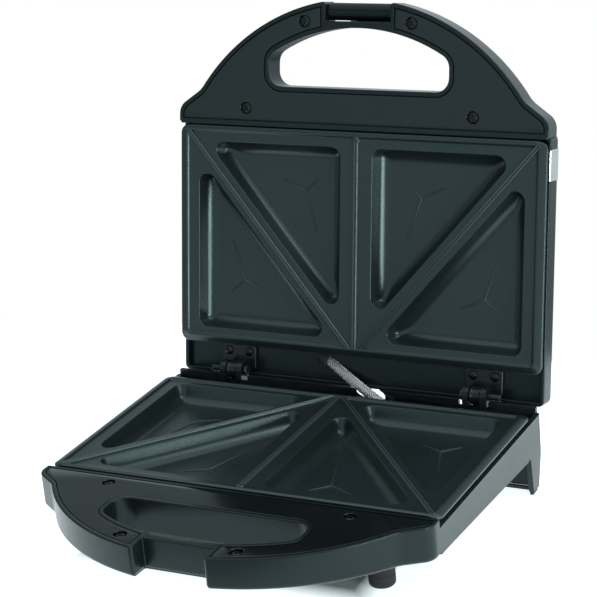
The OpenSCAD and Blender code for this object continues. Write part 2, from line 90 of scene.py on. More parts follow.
class Nodes:
    """Short way to write a node tree."""

    def __init__(self, name):
        self.mat = bpy.data.materials.new(name)
        self.mat.use_nodes = True
        self.t = self.mat.node_tree
        self.t.nodes.clear()
        self.out = self.t.nodes.new("ShaderNodeOutputMaterial")
        self.b = self.t.nodes.new("ShaderNodeBsdfPrincipled")
        self.link(self.b.outputs[0], self.out.inputs[0])
        self.co = self.t.nodes.new("ShaderNodeTexCoord").outputs["Object"]

    def link(self, a, b):
        self.t.links.new(a, b)

    def put(self, sock, v):
        if isinstance(v, bpy.types.NodeSocket):
            self.link(v, sock)
        else:
            sock.default_value = v

    def noise(self, scale, detail=3.0, rough=0.55, co=None, stretch=None, dist=0.0):
        co = co or self.co
        if stretch:
            m = self.t.nodes.new("ShaderNodeMapping")
            m.inputs["Scale"].default_value = stretch
            self.link(co, m.inputs["Vector"])
            co = m.outputs[0]
        n = self.t.nodes.new("ShaderNodeTexNoise")
        n.inputs["Scale"].default_value = scale
        n.inputs["Detail"].default_value = detail
        n.inputs["Roughness"].default_value = rough
        n.inputs["Distortion"].default_value = dist
        self.link(co, n.inputs["Vector"])
        return n.outputs["Fac"]

    def cells(self, scale, feature="F1"):
        n = self.t.nodes.new("ShaderNodeTexVoronoi")
        n.feature = feature
        n.inputs["Scale"].default_value = scale
        self.link(self.co, n.inputs["Vector"])
        return n.outputs["Distance"]

    def ramp(self, fac, a, b, lo=0.0, hi=1.0):
        """a to b as fac goes from lo to hi, numbers or colours."""
        if isinstance(a, (int, float)):
            m = self.t.nodes.new("ShaderNodeMapRange")
            m.inputs["From Min"].default_value = lo
            m.inputs["From Max"].default_value = hi
            m.inputs["To Min"].default_value = a
            m.inputs["To Max"].default_value = b
            self.put(m.inputs["Value"], fac)
            return m.outputs[0]
        r = self.t.nodes.new("ShaderNodeValToRGB")
        r.color_ramp.elements[0].position = lo
        r.color_ramp.elements[0].color = (*a, 1)
        r.color_ramp.elements[1].position = hi
        r.color_ramp.elements[1].color = (*b, 1)
        self.put(r.inputs[0], fac)
        return r.outputs[0]

    def math(self, op, a, b=0.0):
        m = self.t.nodes.new("ShaderNodeMath")
        m.operation = op
        self.put(m.inputs[0], a)
        self.put(m.inputs[1], b)
        return m.outputs[0]

    def mix(self, fac, a, b):
        m = self.t.nodes.new("ShaderNodeMix")
        m.data_type = "RGBA"
        self.put(m.inputs[0], fac)
        for s, v in ((m.inputs[6], a), (m.inputs[7], b)):
            self.put(s, (*v, 1) if isinstance(v, tuple) and len(v) == 3 else v)
        return m.outputs[2]

    def bump(self, height, dist, strength=1.0, prev=None):
        m = self.t.nodes.new("ShaderNodeBump")
        m.inputs["Distance"].default_value = dist
        m.inputs["Strength"].default_value = strength
        self.put(m.inputs["Height"], height)
        if prev:
            self.link(prev, m.inputs["Normal"])
        return m.outputs[0]

    def edge(self, lo=0.52, hi=0.62):
        g = self.t.nodes.new("ShaderNodeNewGeometry")
        return self.ramp(g.outputs["Pointiness"], 0.0, 1.0, lo, hi)


def plastic(name, dark, light, rough=(0.3, 0.38), grain=0.00002, wear_and_highlight=(0.06, 0.066, 0.066), spec=0.5, tint=(1.0, 1.0, 1.0), gscale=3200.0):
    m = Nodes(name)
    big = m.noise(28.0, 4.0)
    fine = m.noise(gscale, 2.0, 0.6)
    scuff = m.noise(60.0, 5.0, 0.65, stretch=(1.0, 6.0, 1.0), dist=1.2)
    col = m.mix(big, dark, light)
    # Lighter colour on pointy edges where the scuff noise allows: partly rubbed wear, partly a painted edge highlight.
    edge = m.edge(0.515, 0.6)
    worn_and_highlit = m.math("MULTIPLY", edge, m.ramp(scuff, 0.35, 0.9, 0.35, 0.7))
    m.put(m.b.inputs["Base Color"], m.mix(worn_and_highlit, col, wear_and_highlight))
    r = m.ramp(m.math("ADD", m.math("MULTIPLY", big, 0.5), m.math("MULTIPLY", scuff, 0.5)), rough[0], rough[1], 0.35, 0.65)
    m.put(m.b.inputs["Roughness"], r)
    m.b.inputs["Specular IOR Level"].default_value = spec
    m.b.inputs["Specular Tint"].default_value = (*tint, 1)
    n = m.bump(fine, grain, 0.6)
    m.put(m.b.inputs["Normal"], m.bump(m.noise(45.0, 3.0), 0.00006, 0.35, n))
    return m.mat


def metal(name, dark, light, rough=(0.25, 0.4), brush=(1.0, 1.0, 1.0), bscale=900.0, depth=0.00001, spots=None, metallic=1.0):
    m = Nodes(name)
    br = m.noise(bscale, 3.0, 0.6, stretch=brush)
    big = m.noise(40.0, 4.0)
    col = m.mix(m.math("ADD", m.math("MULTIPLY", br, 0.5), m.math("MULTIPLY", big, 0.5)), dark, light)
    if spots:
        col = m.mix(m.ramp(m.noise(140.0, 5.0, 0.7), 0.0, 1.0, 0.56, 0.68), col, spots)
    # Painted edge highlight: the colour turns lighter on pointy edges.
    edge = m.edge(0.52, 0.62)
    m.put(m.b.inputs["Base Color"], m.mix(m.math("MULTIPLY", edge, 0.5), col, tuple(min(1.0, c * 1.35) for c in light)))
    m.put(m.b.inputs["Roughness"], m.ramp(br, rough[0], rough[1], 0.3, 0.7))
    m.b.inputs["Metallic"].default_value = metallic
    m.put(m.b.inputs["Normal"], m.bump(br, depth, 0.5, m.bump(big, 0.00005, 0.2)))
    return m.mat


def coating(name):
    """Non-stick coating: a fine cast texture under a satin film."""
    m = Nodes(name)
    pebble = m.cells(1500.0)
    fine = m.noise(2600.0, 3.0, 0.6)
    big = m.noise(22.0, 4.0, 0.5)
    col = m.mix(big, (0.0080, 0.0120, 0.0130), (0.0110, 0.0158, 0.0168))
    speck = m.ramp(m.noise(1700.0, 2.0, 0.7), 0.0, 1.0, 0.60, 0.72)
    col = m.mix(m.math("MULTIPLY", speck, 0.3), col, (0.03, 0.042, 0.044))
    # Painted edge highlight: the colour turns lighter on pointy edges.
    edge = m.edge(0.515, 0.6)
    m.put(m.b.inputs["Base Color"], m.mix(m.math("MULTIPLY", edge, 0.6), col, (0.05, 0.066, 0.068)))
    m.put(m.b.inputs["Roughness"], m.ramp(m.math("ADD", m.math("MULTIPLY", big, 0.6), m.math("MULTIPLY", fine, 0.4)), 0.24, 0.33, 0.35, 0.65))
    m.b.inputs["Specular IOR Level"].default_value = 0.62
    m.b.inputs["Specular Tint"].default_value = (0.74, 0.96, 1.0, 1)
    n = m.bump(m.math("ADD", m.math("MULTIPLY", pebble, -0.7), fine), 0.00005, 0.55)
    m.put(m.b.inputs["Normal"], m.bump(m.noise(30.0, 3.0), 0.0001, 0.25, n))
    return m.mat


def lens_mat(name, dark, light):
    m = Nodes(name)
    rings = m.noise(500.0, 2.0)
    m.put(m.b.inputs["Base Color"], m.mix(rings, dark, light))
    m.put(m.b.inputs["Roughness"], m.ramp(m.noise(300.0, 3.0), 0.08, 0.18, 0.3, 0.7))
    m.b.inputs["Transmission Weight"].default_value = 0.35
    m.b.inputs["IOR"].default_value = 1.49
    m.put(m.b.inputs["Normal"], m.bump(m.cells(900.0), 0.0001, 0.3))
    return m.mat


M = {}
M["housing"] = plastic("housing_plastic", (0.0042, 0.0064, 0.0070), (0.0066, 0.0092, 0.0098), (0.22, 0.30), wear_and_highlight=(0.020, 0.027, 0.028), spec=0.30, tint=(0.74, 0.97, 1.0))
M["cover"] = plastic("cover_plastic", (0.0018, 0.0026, 0.0031), (0.0028, 0.0037, 0.0043), (0.12, 0.18), grain=0.000003, wear_and_highlight=(0.014, 0.018, 0.019), tint=(0.80, 0.96, 1.0))
M["clip"] = plastic("clip_plastic", (0.0022, 0.0030, 0.0034), (0.0034, 0.0044, 0.0048), (0.24, 0.32), wear_and_highlight=(0.012, 0.015, 0.016), spec=0.25, tint=(0.76, 0.96, 1.0))
M["coating"] = coating("coated_aluminium")
M["steel"] = metal("steel_screws", (0.34, 0.34, 0.35), (0.62, 0.62, 0.63), (0.22, 0.38), bscale=1500.0, spots=(0.16, 0.15, 0.14))
M["black_screw"] = metal("screw_black", (0.012, 0.014, 0.015), (0.05, 0.054, 0.056), (0.14, 0.24), bscale=1500.0, metallic=0.9)
M["hinge"] = metal("hinge_steel", (0.010, 0.012, 0.013), (0.032, 0.036, 0.038), (0.25, 0.36), bscale=900.0, metallic=0.6)
M["sheath"] = metal("element_sheath", (0.10, 0.085, 0.07), (0.26, 0.24, 0.21), (0.4, 0.6), spots=(0.05, 0.04, 0.035))
M["reflector"] = metal("reflector_metal", (0.62, 0.62, 0.6), (0.82, 0.82, 0.8), (0.2, 0.35), brush=(1.0, 18.0, 1.0), bscale=240.0, spots=(0.5, 0.44, 0.36))
M["band"] = metal("band_steel", (0.60, 0.60, 0.59), (0.86, 0.86, 0.85), (0.2, 0.32), brush=(1.0, 20.0, 1.0), bscale=500.0, depth=0.000004)
M["sleeve"] = metal("sleeve_steel", (0.46, 0.46, 0.46), (0.86, 0.86, 0.85), (0.25, 0.4), bscale=1200.0, metallic=0.85)
M["rubber"] = plastic("foot_rubber", (0.010, 0.010, 0.010), (0.018, 0.018, 0.018), (0.62, 0.78), grain=0.00005, wear_and_highlight=(0.05, 0.05, 0.05), spec=0.35, gscale=1800.0)
M["gland"] = plastic("gland_rubber", (0.010, 0.010, 0.011), (0.017, 0.017, 0.018), (0.5, 0.66), grain=0.00004, wear_and_highlight=(0.05, 0.05, 0.05), spec=0.35, gscale=1800.0)
M["ceramic"] = plastic("ceramic", (0.62, 0.59, 0.52), (0.75, 0.72, 0.66), (0.55, 0.7), grain=0.00006, wear_and_highlight=(0.8, 0.78, 0.72), spec=0.4, gscale=1400.0)
M["wire"] = plastic("wire_jacket", (0.30, 0.035, 0.03), (0.42, 0.06, 0.045), (0.4, 0.55), grain=0.00003, wear_and_highlight=(0.5, 0.12, 0.1), spec=0.4)
M["red"] = lens_mat("red_lens", (0.42, 0.012, 0.01), (0.62, 0.03, 0.02))
M["green"] = lens_mat("green_lens", (0.01, 0.25, 0.04), (0.03, 0.42, 0.08))
M["glass"] = lens_mat("lamp_glass", (0.6, 0.42, 0.3), (0.8, 0.62, 0.48))

# ---------------------------------------------------------------- mesh helpers


def arc(c, r, a0, a1, n):
    t = np.radians(np.linspace(a0, a1, n + 1))
    return np.stack([c[0] + r * np.cos(t), c[1] + r * np.sin(t)], 1)


def inside(pts, poly):
    """Even-odd test of points in a closed outline."""
    x, y = pts[:, 0][:, None], pts[:, 1][:, None]
    x0, y0 = poly[:, 0][None], poly[:, 1][None]
    x1, y1 = np.roll(poly[:, 0], -1)[None], np.roll(poly[:, 1], -1)[None]
    cross = (y0 > y) != (y1 > y)
    with np.errstate(divide="ignore", invalid="ignore"):
        xs = (x1 - x0) * (y - y0) / (y1 - y0) + x0
    return (np.sum(cross & (x < xs), axis=1) % 2) == 1


class Solid:
    def __init__(self):
        self.v = []
        self.f = []

    def loop(self, pts, z=None):
        """Adds a loop of points, (x, y) at height z or (x, y, z), and returns its indices."""
        pts = np.asarray(pts, float)
        if z is not None:
            pts = np.concatenate([pts, np.full((len(pts), 1), float(z))], 1)
        i = len(self.v)
        self.v.extend(map(tuple, pts))
        return list(range(i, i + len(pts)))

    def strip(self, a, b, hole=False):
        n = len(a)
        for i in range(n):
            j = (i + 1) % n
            q = [a[i], b[i], b[j], a[j]]
            self.f.append(q[::-1] if hole else q)

    def lathe(self, rows, hole=False):
        """rows of loops from the top down."""
        for a, b in zip(rows, rows[1:]):
            self.strip(a, b, hole)

    def cap(self, outer, holes=(), up=True, extra=()):
        """Fills the flat region between outer and holes."""
        loops = [outer, *holes]
        idx, edges = [], []
        for lp in loops:
            k = len(idx)
            idx += lp
            edges += [(k + i, k + (i + 1) % len(lp)) for i in range(len(lp))]
        co = np.array([self.v[i][:2] for i in idx])
        vs, _, fs, ov, _, _ = delaunay_2d_cdt([Vector(c) for c in co], edges, [], 0, 1e-6, True)
        tri = np.array([t for t in fs if len(t) == 3])
        pos = np.array([tuple(v) for v in vs])
        cen = pos[tri].mean(1)
        keep = inside(cen, co[: len(outer)])
        k = len(outer)
        for h in holes:
            keep &= ~inside(cen, co[k: k + len(h)])
            k += len(h)
        for t in tri[keep]:
            q = [idx[ov[i][0]] for i in t]
            self.f.append(q if up else q[::-1])

    def join(self, other):
        k = len(self.v)
        self.v += other.v
        self.f += [[i + k for i in f] for f in other.f]
        return self

    def moved(self, fn):
        s = Solid()
        s.v = [tuple(p) for p in fn(np.array(self.v, float))]
        s.f = [list(f) for f in self.f]
        return s

    def shift(self, x=0.0, y=0.0, z=0.0):
        return self.moved(lambda p: p + np.array([x, y, z]))

    def mirror(self, axis=0):
        def fn(p):
            p = p.copy()
            p[:, axis] *= -1
            return p
        s = self.moved(fn)
        s.f = [f[::-1] for f in s.f]
        return s

    def flip(self):
        """The lid's twin of a lower part."""
        def fn(p):
            p = p.copy()
            p[:, 2] = LK - p[:, 2]
            return p
        s = self.moved(fn)
        s.f = [f[::-1] for f in s.f]
        return s


def to_base(p):
    return (p + np.array([0, YS, ZS])) / 1000.0


def to_lid(p):
    a = math.radians(-OPEN)
    c, s = math.cos(a), math.sin(a)
    y, z = p[:, 1] - HY, p[:, 2] - HZ
    q = np.stack([p[:, 0], HY + y * c - z * s, HZ + y * s + z * c], 1)
    return to_base(q)


def unlid(p):
    """World-placed housing coordinates of the open lid back to the shut lid."""
    a = math.radians(OPEN)
    c, s = math.cos(a), math.sin(a)
    y, z = p[1] - HY, p[2] - HZ
    return np.array([p[0], HY + y * c - z * s, HZ + y * s + z * c])


def obj(name, solid, place=None, mat=None, body=None, slot=None, nodes=(), sharp=38.0, bevel=0.0, segs=2, smooth=True, weighted=True, fix=True):
    v = np.array(solid.v, float)
    if place is not None:
        v = place(v)
    me = bpy.data.meshes.new(name)
    me.from_pydata(v.tolist(), [], solid.f)
    bm = bmesh.new()
    bm.from_mesh(me)
    if fix:
        bmesh.ops.remove_doubles(bm, verts=bm.verts, dist=1e-7)
        bmesh.ops.dissolve_degenerate(bm, dist=1e-8, edges=bm.edges)
        bmesh.ops.recalc_face_normals(bm, faces=bm.faces)
    bm.to_mesh(me)
    bm.free()
    o = bpy.data.objects.new(name, me)
    SCENE.collection.objects.link(o)
    finish_obj(o, mat, body, slot, nodes, sharp, bevel, segs, smooth, weighted)
    return o


def finish_obj(o, mat=None, body=None, slot=None, nodes=(), sharp=38.0, bevel=0.0, segs=2, smooth=True, weighted=True):
    me = o.data
    if smooth:
        me.shade_smooth()
        me.set_sharp_from_angle(angle=math.radians(sharp))
    if bevel:
        b = o.modifiers.new("edges", "BEVEL")
        b.width = bevel / 1000.0
        b.segments = segs
        b.limit_method = "ANGLE"
        b.angle_limit = math.radians(40)
        b.use_clamp_overlap = True
        b.harden_normals = False
    if weighted:
        w = o.modifiers.new("normals", "WEIGHTED_NORMAL")
        w.keep_sharp = True
        w.weight = 60
        w.mode = "FACE_AREA_WITH_ANGLE"
    if mat is not None:
        me.materials.clear()
        me.materials.append(mat)
    if body:
        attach(o, body)
    if nodes:
        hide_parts(*nodes)


def temp(solid, place=to_base):
    me = bpy.data.meshes.new("t")
    me.from_pydata(place(np.array(solid.v, float)).tolist(), [], solid.f)
    bm = bmesh.new()
    bm.from_mesh(me)
    bmesh.ops.recalc_face_normals(bm, faces=bm.faces)
    bm.to_mesh(me)
    bm.free()
    o = bpy.data.objects.new("t", me)
    SCENE.collection.objects.link(o)
    return o


def csg(first, steps, place=to_base):
    """Boolean steps on first: a list of (operation, solid). Returns a mesh in metres."""
    a = temp(first, place)
    gone = [a]
    for op, s in steps:
        b = temp(s, place)
        gone.append(b)
        m = a.modifiers.new("b", "BOOLEAN")
        m.operation = op
        m.solver = "MANIFOLD"
        m.object = b
        b.hide_render = True
    dg = bpy.context.evaluated_depsgraph_get()
    me = bpy.data.meshes.new_from_object(a.evaluated_get(dg))
    for o in gone:
        bpy.data.objects.remove(o)
    return me


def from_mesh(name, me, **kw):
    o = bpy.data.objects.new(name, me)
    SCENE.collection.objects.link(o)
    bm = bmesh.new()
    bm.from_mesh(me)
    bmesh.ops.remove_doubles(bm, verts=bm.verts, dist=2e-6)
    bmesh.ops.dissolve_limit(bm, angle_limit=math.radians(1.0), verts=bm.verts, edges=bm.edges, delimit=set())
    bm.to_mesh(me)
    bm.free()
    finish_obj(o, **kw)
    return o


def prism(outline, z0, z1, holes=()):
    s = Solid()
    t, b = s.loop(outline, z1), s.loop(outline, z0)
    s.strip(t, b)
    ht = [s.loop(h, z1) for h in holes]
    hb = [s.loop(h, z0) for h in holes]
    for x, y in zip(ht, hb):
        s.strip(x, y, True)
    s.cap(t, ht, True)
    s.cap(b, hb, False)
    return s


def prism_x(profile, x0, x1):
    """A (y, z) profile run along x."""
    s = prism([(p[0], p[1]) for p in profile], x0, x1)
    return s.moved(lambda p: np.stack([p[:, 2], p[:, 0], p[:, 1]], 1))


def box(x0, y0, z0, x1, y1, z1):
    return prism([(x0, y0), (x1, y0), (x1, y1), (x0, y1)], z0, z1)


def rbox(x0, y0, z0, x1, y1, z1, r=1.0, n=3, k=0.5):
    """A box with round vertical corners and softened top and bottom edges."""
    s = Solid()
    rows = [s.loop(rrect(x0, y0, x1, y1, r, e, n), z) for e, z in
            [(k, z1), (k * 0.3, z1 - k * 0.3), (0, z1 - k), (0, z0 + k), (k * 0.3, z0 + k * 0.3), (k, z0)]]
    s.lathe(rows)
    s.cap(rows[0], (), True)
    s.cap(rows[-1], (), False)
    return s


def rrect(x0, y0, x1, y1, r, e=0.0, n=6):
    q = max(r - e, 0.05)
    x0, y0, x1, y1 = x0 + e, y0 + e, x1 - e, y1 - e
    return np.concatenate([arc((x1 - q, y0 + q), q, -90, 0, n), arc((x1 - q, y1 - q), q, 0, 90, n),
                           arc((x0 + q, y1 - q), q, 90, 180, n), arc((x0 + q, y0 + q), q, 180, 270, n)])


def circle(cx, cy, r, n=24):
    return arc((cx, cy), r, 0, 360, n)[:-1]


def turned(profile, n=32):
    """A solid of revolution about z: profile of (r, z) from the bottom axis point up to the top axis point."""
    s = Solid()
    rows = []
    for r, z in profile[::-1]:
        if r < 1e-6:
            rows.append(s.loop([(0.0, 0.0)], z))
        else:
            rows.append(s.loop(circle(0, 0, r, n), z))
    for a, b in zip(rows, rows[1:]):
        if len(a) == 1 and len(b) > 1:
            for i in range(len(b)):
                s.f.append([a[0], b[i], b[(i + 1) % len(b)]])
        elif len(b) == 1 and len(a) > 1:
            for i in range(len(a)):
                s.f.append([a[i], b[0], a[(i + 1) % len(a)]])
        elif len(a) > 1:
            s.strip(a, b)
    return s


def along_x(s, x=0.0, y=0.0, z=0.0):
    """Turns a solid about z into one about x."""
    return s.moved(lambda p: np.stack([p[:, 2] + x, -p[:, 1] + y, p[:, 0] + z], 1) if False else np.stack([p[:, 2] + x, p[:, 0] + y, p[:, 1] + z], 1))


def fillet(points, radii, n=5):
    """Open polyline with round corners."""
    P = [np.array(p, float) for p in points]
    out = [P[0]]
    for a, b, c, r in zip(P, P[1:], P[2:], radii):
        if r <= 0:
            out.append(b)
            continue
        u, v = (a - b) / np.linalg.norm(a - b), (c - b) / np.linalg.norm(c - b)
        half = math.acos(max(-1, min(1, float(u @ v)))) / 2
        d = min(r / math.tan(half), 0.49 * min(np.linalg.norm(a - b), np.linalg.norm(c - b)))
        r = d * math.tan(half)
        m = b + (u + v) / np.linalg.norm(u + v) * (r / math.sin(half))
        p0, p1 = b + u * d, b + v * d
        a0, a1 = math.atan2(*(p0 - m)[::-1]), math.atan2(*(p1 - m)[::-1])
        da = (a1 - a0 + math.pi) % (2 * math.pi) - math.pi
        for k in range(n + 1):
            t = a0 + da * k / n
            out.append(m + r * np.array([math.cos(t), math.sin(t)]))
    out.append(P[-1])
    return [tuple(p) for p in out]


def tube(path, r, n=8, closed=False, ends=True):
    """A round tube along a path, with parallel-transported rings."""
    P = np.array(path, float)
    T = np.gradient(P, axis=0)
    T /= np.linalg.norm(T, axis=1)[:, None]
    ref = np.array([0, 0, 1.0]) if abs(T[0][2]) < 0.9 else np.array([1.0, 0, 0])
    u = np.cross(T[0], ref)
    u /= np.linalg.norm(u)
    s = Solid()
    rows = []
    for p, t in zip(P, T):
        u = u - t * (u @ t)
        u /= np.linalg.norm(u)
        w = np.cross(t, u)
        a = np.arange(n) * 2 * math.pi / n
        rows.append(s.loop(p + r * (np.cos(a)[:, None] * u + np.sin(a)[:, None] * w)))
    for a, b in zip(rows, rows[1:]):
        for i in range(n):
            j = (i + 1) % n
            s.f.append([a[i], a[j], b[j], b[i]])
    s.f.append(rows[0][::-1])
    s.f.append(rows[-1])
    return s


# ---------------------------------------------------------------- outlines (as in the CAD)
HW, ARC, AR, GR, GH = 113.5, (0.0, -18.0), 119.3, 103.0, 55.5
NW, NY, FR, CR, SL = 20.0, -124.5, 16.0, 9.0, 35.0
HH = 113.9
FRONT, BASE_FACE, GRIP_T, GRIP_L, LIP = -66.0, -0.5, 18.5, 15.0, 2.5
_nrm = np.array([math.sin(math.radians(SL)), -math.cos(math.radians(SL))])
_dir = np.array([math.cos(math.radians(SL)), math.sin(math.radians(SL))])
CC = np.array([HH - CR, -69.0])
_f0 = _nrm * (_nrm @ CC + CR + FR)
_q0 = _f0 - np.array(ARC)
_tb, _tc = _q0 @ _dir, _q0 @ _q0 - (AR + FR) ** 2
FC = _f0 + _dir * (-_tb + math.sqrt(_tb * _tb - _tc))
FA = math.degrees(math.atan2(FC[1] - ARC[1], FC[0] - ARC[0]))


def _outer(e, yb, en=None):
    """The handle's right edge from the notch's mouth to the back line."""
    rho = max(1.8 - e, 0.03)
    cx = NW + (e if en is None else en) + rho
    cy = ARC[1] - math.sqrt((AR - e - rho) ** 2 - cx * cx)
    phi = math.degrees(math.atan2(cy - ARC[1], cx))
    return np.concatenate([
        arc((cx, cy), rho, 180, 360 + phi, 6),
        arc(ARC, AR - e, phi, FA, 30)[1:],
        arc(FC, FR + e, 180 + FA, 90 + SL, 10)[1:],
        arc(CC, CR - e, SL - 90, 0, 10),
        [[HH - e, yb]]])


def handle(e, yb):
    """The handle's outline with the clip's notch, drawn in by e, closed at y = yb. Counter-clockwise."""
    ri = 0.6
    en = min(e, 0.7)  # the thin web behind the notch keeps its thickness
    half = np.concatenate([[[0.0, NY + en]], arc((NW - ri, NY - ri), ri + en, 90, 0, 6), _outer(e, yb, en)])
    other = half[:0:-1].copy()
    other[:, 0] *= -1
    return np.concatenate([half, other])


def _grip_parts(e):
    gcr = 8.0
    gcx = GH - gcr
    gcy = ARC[1] - math.sqrt((GR - gcr) ** 2 - gcx * gcx)
    ga = math.degrees(math.atan2(gcy - ARC[1], gcx))
    rest = np.concatenate([
        arc((gcx, gcy), gcr + e, ga, 0, 6)[1:], arc((gcx, -95), gcr + e, 0, 90, 8),
        arc((-gcx, -95), gcr + e, 90, 180, 8), arc((-gcx, gcy), gcr + e, 180, 180 - ga, 6)[:-1]])
    return ga, rest


def grip(e):
    """The finger opening's outline, grown by e."""
    ga, rest = _grip_parts(e)
    return np.concatenate([arc(ARC, GR + e, -180 - ga, ga, 32), rest])


def cover_loop(e, yb):
    """The cover's outline: the handle without the opening and the notch, which meet when both are grown by e."""
    x, R = NW + e, GR + e
    y = ARC[1] - math.sqrt(R * R - x * x)
    a = math.degrees(math.atan2(y - ARC[1], x))
    right = np.concatenate([[[x, y]], _outer(e, yb)])
    left = right[::-1] * np.array([-1.0, 1.0])
    ga, rest = _grip_parts(e)
    hole = np.concatenate([arc(ARC, R, a, ga, 16)[1:], rest, arc(ARC, R, -180 - ga, -180 - a, 16)[:-1]])
    return np.concatenate([right, left, hole[::-1]])


SCREWS = [(s * x, y) for s in (-1, 1) for x, y in ((70.0, -74.0), (32.8, -124.2))]


def round_rows(R, top, n=4, under=False):
    """(e, z) rows of a quarter round of radius R that starts on the plane z = top and ends on the wall."""
    out = []
    for k in range(n + 1):
        a = math.pi / 2 * k / n
        e, d = R * (1 - math.sin(a)), R * (1 - math.cos(a))
        out.append((e, top - d if not under else top + d))
    return out if not under else out[::-1]


def handle_slab(depth, draft, low_r, hole_r=1.4):
    """The handle's moulded block: lip, seat for the cover, finger opening and notch. Its face is at z = 0."""
    s = Solid()
    yb, yr = -65.0, -66.75
    outer = round_rows(0.7, 0.0) + [(e + draft, z) for e, z in round_rows(low_r, -depth, 6, True)]
    rows = [s.loop(handle(e, yb), z) for e, z in outer]
    s.lathe(rows)
    hole = round_rows(0.7, 0.0) + round_rows(hole_r, -depth, 6, True)
    hrows = [s.loop(grip(e), z) for e, z in hole]
    s.lathe(hrows, True)
    seat = [s.loop(cover_loop(e, yr), z) for e, z in [(LIP - 0.45, 0.0), (LIP - 0.13, -0.13), (LIP, -0.45), (LIP, -2.6)]]
    s.lathe(seat, True)
    s.cap(seat[-1], (), True)
    s.cap(rows[0], [hrows[0], seat[0]], True)
    s.cap(rows[-1], [hrows[-1]], False)
    return s


def cover_plate():
    """The handle's cover with the wells of its screws. The slab's face is at z = 0."""
    s = Solid()
    g = LIP + 0.38
    prof = [(g + 0.5, -0.1), (g + 0.15, -0.22), (g, -0.55), (g, -2.4)]
    rows = [s.loop(cover_loop(e, -67.1 - (e - g)), z) for e, z in prof]
    s.lathe(rows)
    wells = []
    for x, y in SCREWS:
        w = [s.loop(circle(x, y, r, 28), z) for r, z in [(3.85, -0.12), (3.62, -0.2), (3.45, -0.42), (3.4, -1.75), (3.1, -1.95)]]
        s.lathe(w, True)
        s.cap(w[-1], (), True)
        wells.append(w[0])
    s.cap(rows[0], wells, True)
    s.cap(rows[-1], (), False)
    return s


def screw_head(r=2.95, h=1.35):
    """A pan head, without the crossed recess that screw_mesh cuts; its seat is at z = 0."""
    head = turned([(0, -0.4), (1.5, -0.4), (1.5, 0.0), (r, 0.0), (r, h * 0.35), (r * 0.93, h * 0.66), (r * 0.72, h * 0.9), (r * 0.4, h), (0, h)], 28)
    return head


def cross_cut(r=1.9, w=0.75, top=2.0, depth=0.35):
    """The tapered cross that the driver fits, from above z = top down to z = depth."""
    s = Solid()
    a = [(w / 2, w / 2), (r, w / 2), (r, -w / 2), (w / 2, -w / 2), (w / 2, -r), (-w / 2, -r), (-w / 2, -w / 2), (-r, -w / 2), (-r, w / 2), (-w / 2, w / 2), (-w / 2, r), (w / 2, r)]
    a = np.array(a)[::-1]
    t, b = s.loop(a, top), s.loop(a * 0.55, depth)
    s.strip(t, b)
    s.cap(t, (), True)
    s.cap(b, (), False)
    return s


def screw_mesh(r=2.95, h=1.35, k=1.9):
    me = csg(screw_head(r, h), [("DIFFERENCE", cross_cut(k, 0.8, h + 1, h - 1.05))], place=lambda p: p)
    v = np.array([x.co for x in me.vertices], float)
    s = Solid()
    s.v = [tuple(p) for p in v]
    s.f = [list(p.vertices) for p in me.polygons]
    bpy.data.meshes.remove(me)
    return s


def turn_z(s, deg):
    c, q = math.cos(math.radians(deg)), math.sin(math.radians(deg))
    return s.moved(lambda p: np.stack([p[:, 0] * c - p[:, 1] * q, p[:, 0] * q + p[:, 1] * c, p[:, 2]], 1))


SCREW = screw_mesh()


def screw_group(points, angles):
    s = Solid()
    for (x, y, z), a in zip(points, angles):
        s.join(turn_z(SCREW, a).shift(x, y, z))
    return s


# ---------------------------------------------------------------- plates
D0, D1 = np.array([-109.0, -61.0]), np.array([-3.0, 61.0])
DU = (D1 - D0) / np.linalg.norm(D1 - D0)
DN = np.array([DU[1], -DU[0]])


def at_x(k, a):
    return [a, D0[1] + (DN[0] * (a - D0[0]) - k) / (-DN[1])]


def at_y(k, b):
    return [D0[0] + (k - DN[1] * (b - D0[1])) / DN[0], b]


POCKETS = [np.array([at_y(5, -54), [-10, -54], at_x(5, -10)]), np.array([at_x(-5, -101), at_y(-5, 56), [-101, 56]])]
LAND, PD = -1.2, 9.5


def ccw(P):
    a = np.sum(P[:, 0] * np.roll(P[:, 1], -1) - np.roll(P[:, 0], -1) * P[:, 1])
    return P if a > 0 else P[::-1]


def tri_loop(P, d, n=8):
    """A triangle drawn in by d, its corners rounded."""
    r = max(5.5 - d, 1.6)
    P = ccw(P)
    k = d + r
    m = len(P)
    lines = []
    for i in range(m):
        a, b = P[i], P[(i + 1) % m]
        t = (b - a) / np.linalg.norm(b - a)
        nrm = np.array([t[1], -t[0]])
        lines.append((a - nrm * k, t, nrm))
    out = []
    for i in range(m):
        a, t, nu = lines[i - 1]
        b, w, nv = lines[i]
        den = t[0] * w[1] - t[1] * w[0]
        q = ((b[0] - a[0]) * w[1] - (b[1] - a[1]) * w[0]) / den
        c = a + t * q
        a0 = math.degrees(math.atan2(nu[1], nu[0]))
        a1 = math.degrees(math.atan2(nv[1], nv[0]))
        a1 = a0 + (a1 - a0) % 360
        out.append(arc(c, r, a0, a1, n))
    return np.concatenate(out)


def pocket_rows():
    rows = [(-0.55, 0.0), (-0.3, -0.04), (-0.1, -0.15), (0.02, -0.33), (0.1, -0.55)]
    Rf, th = 7.0, 19.0
    z0 = -PD + Rf - Rf * math.sin(math.radians(th))
    x0 = 0.1 + (-0.55 - z0) * math.tan(math.radians(th))
    xc = x0 + Rf * math.cos(math.radians(th))
    rows.append(((0.1 + x0) / 2, (-0.55 + z0) / 2))
    for k in range(10):
        t = math.radians(180 + th + (90 - th) * k / 9)
        rows.append((xc + Rf * math.cos(t), -PD + Rf + Rf * math.sin(t)))
    return rows


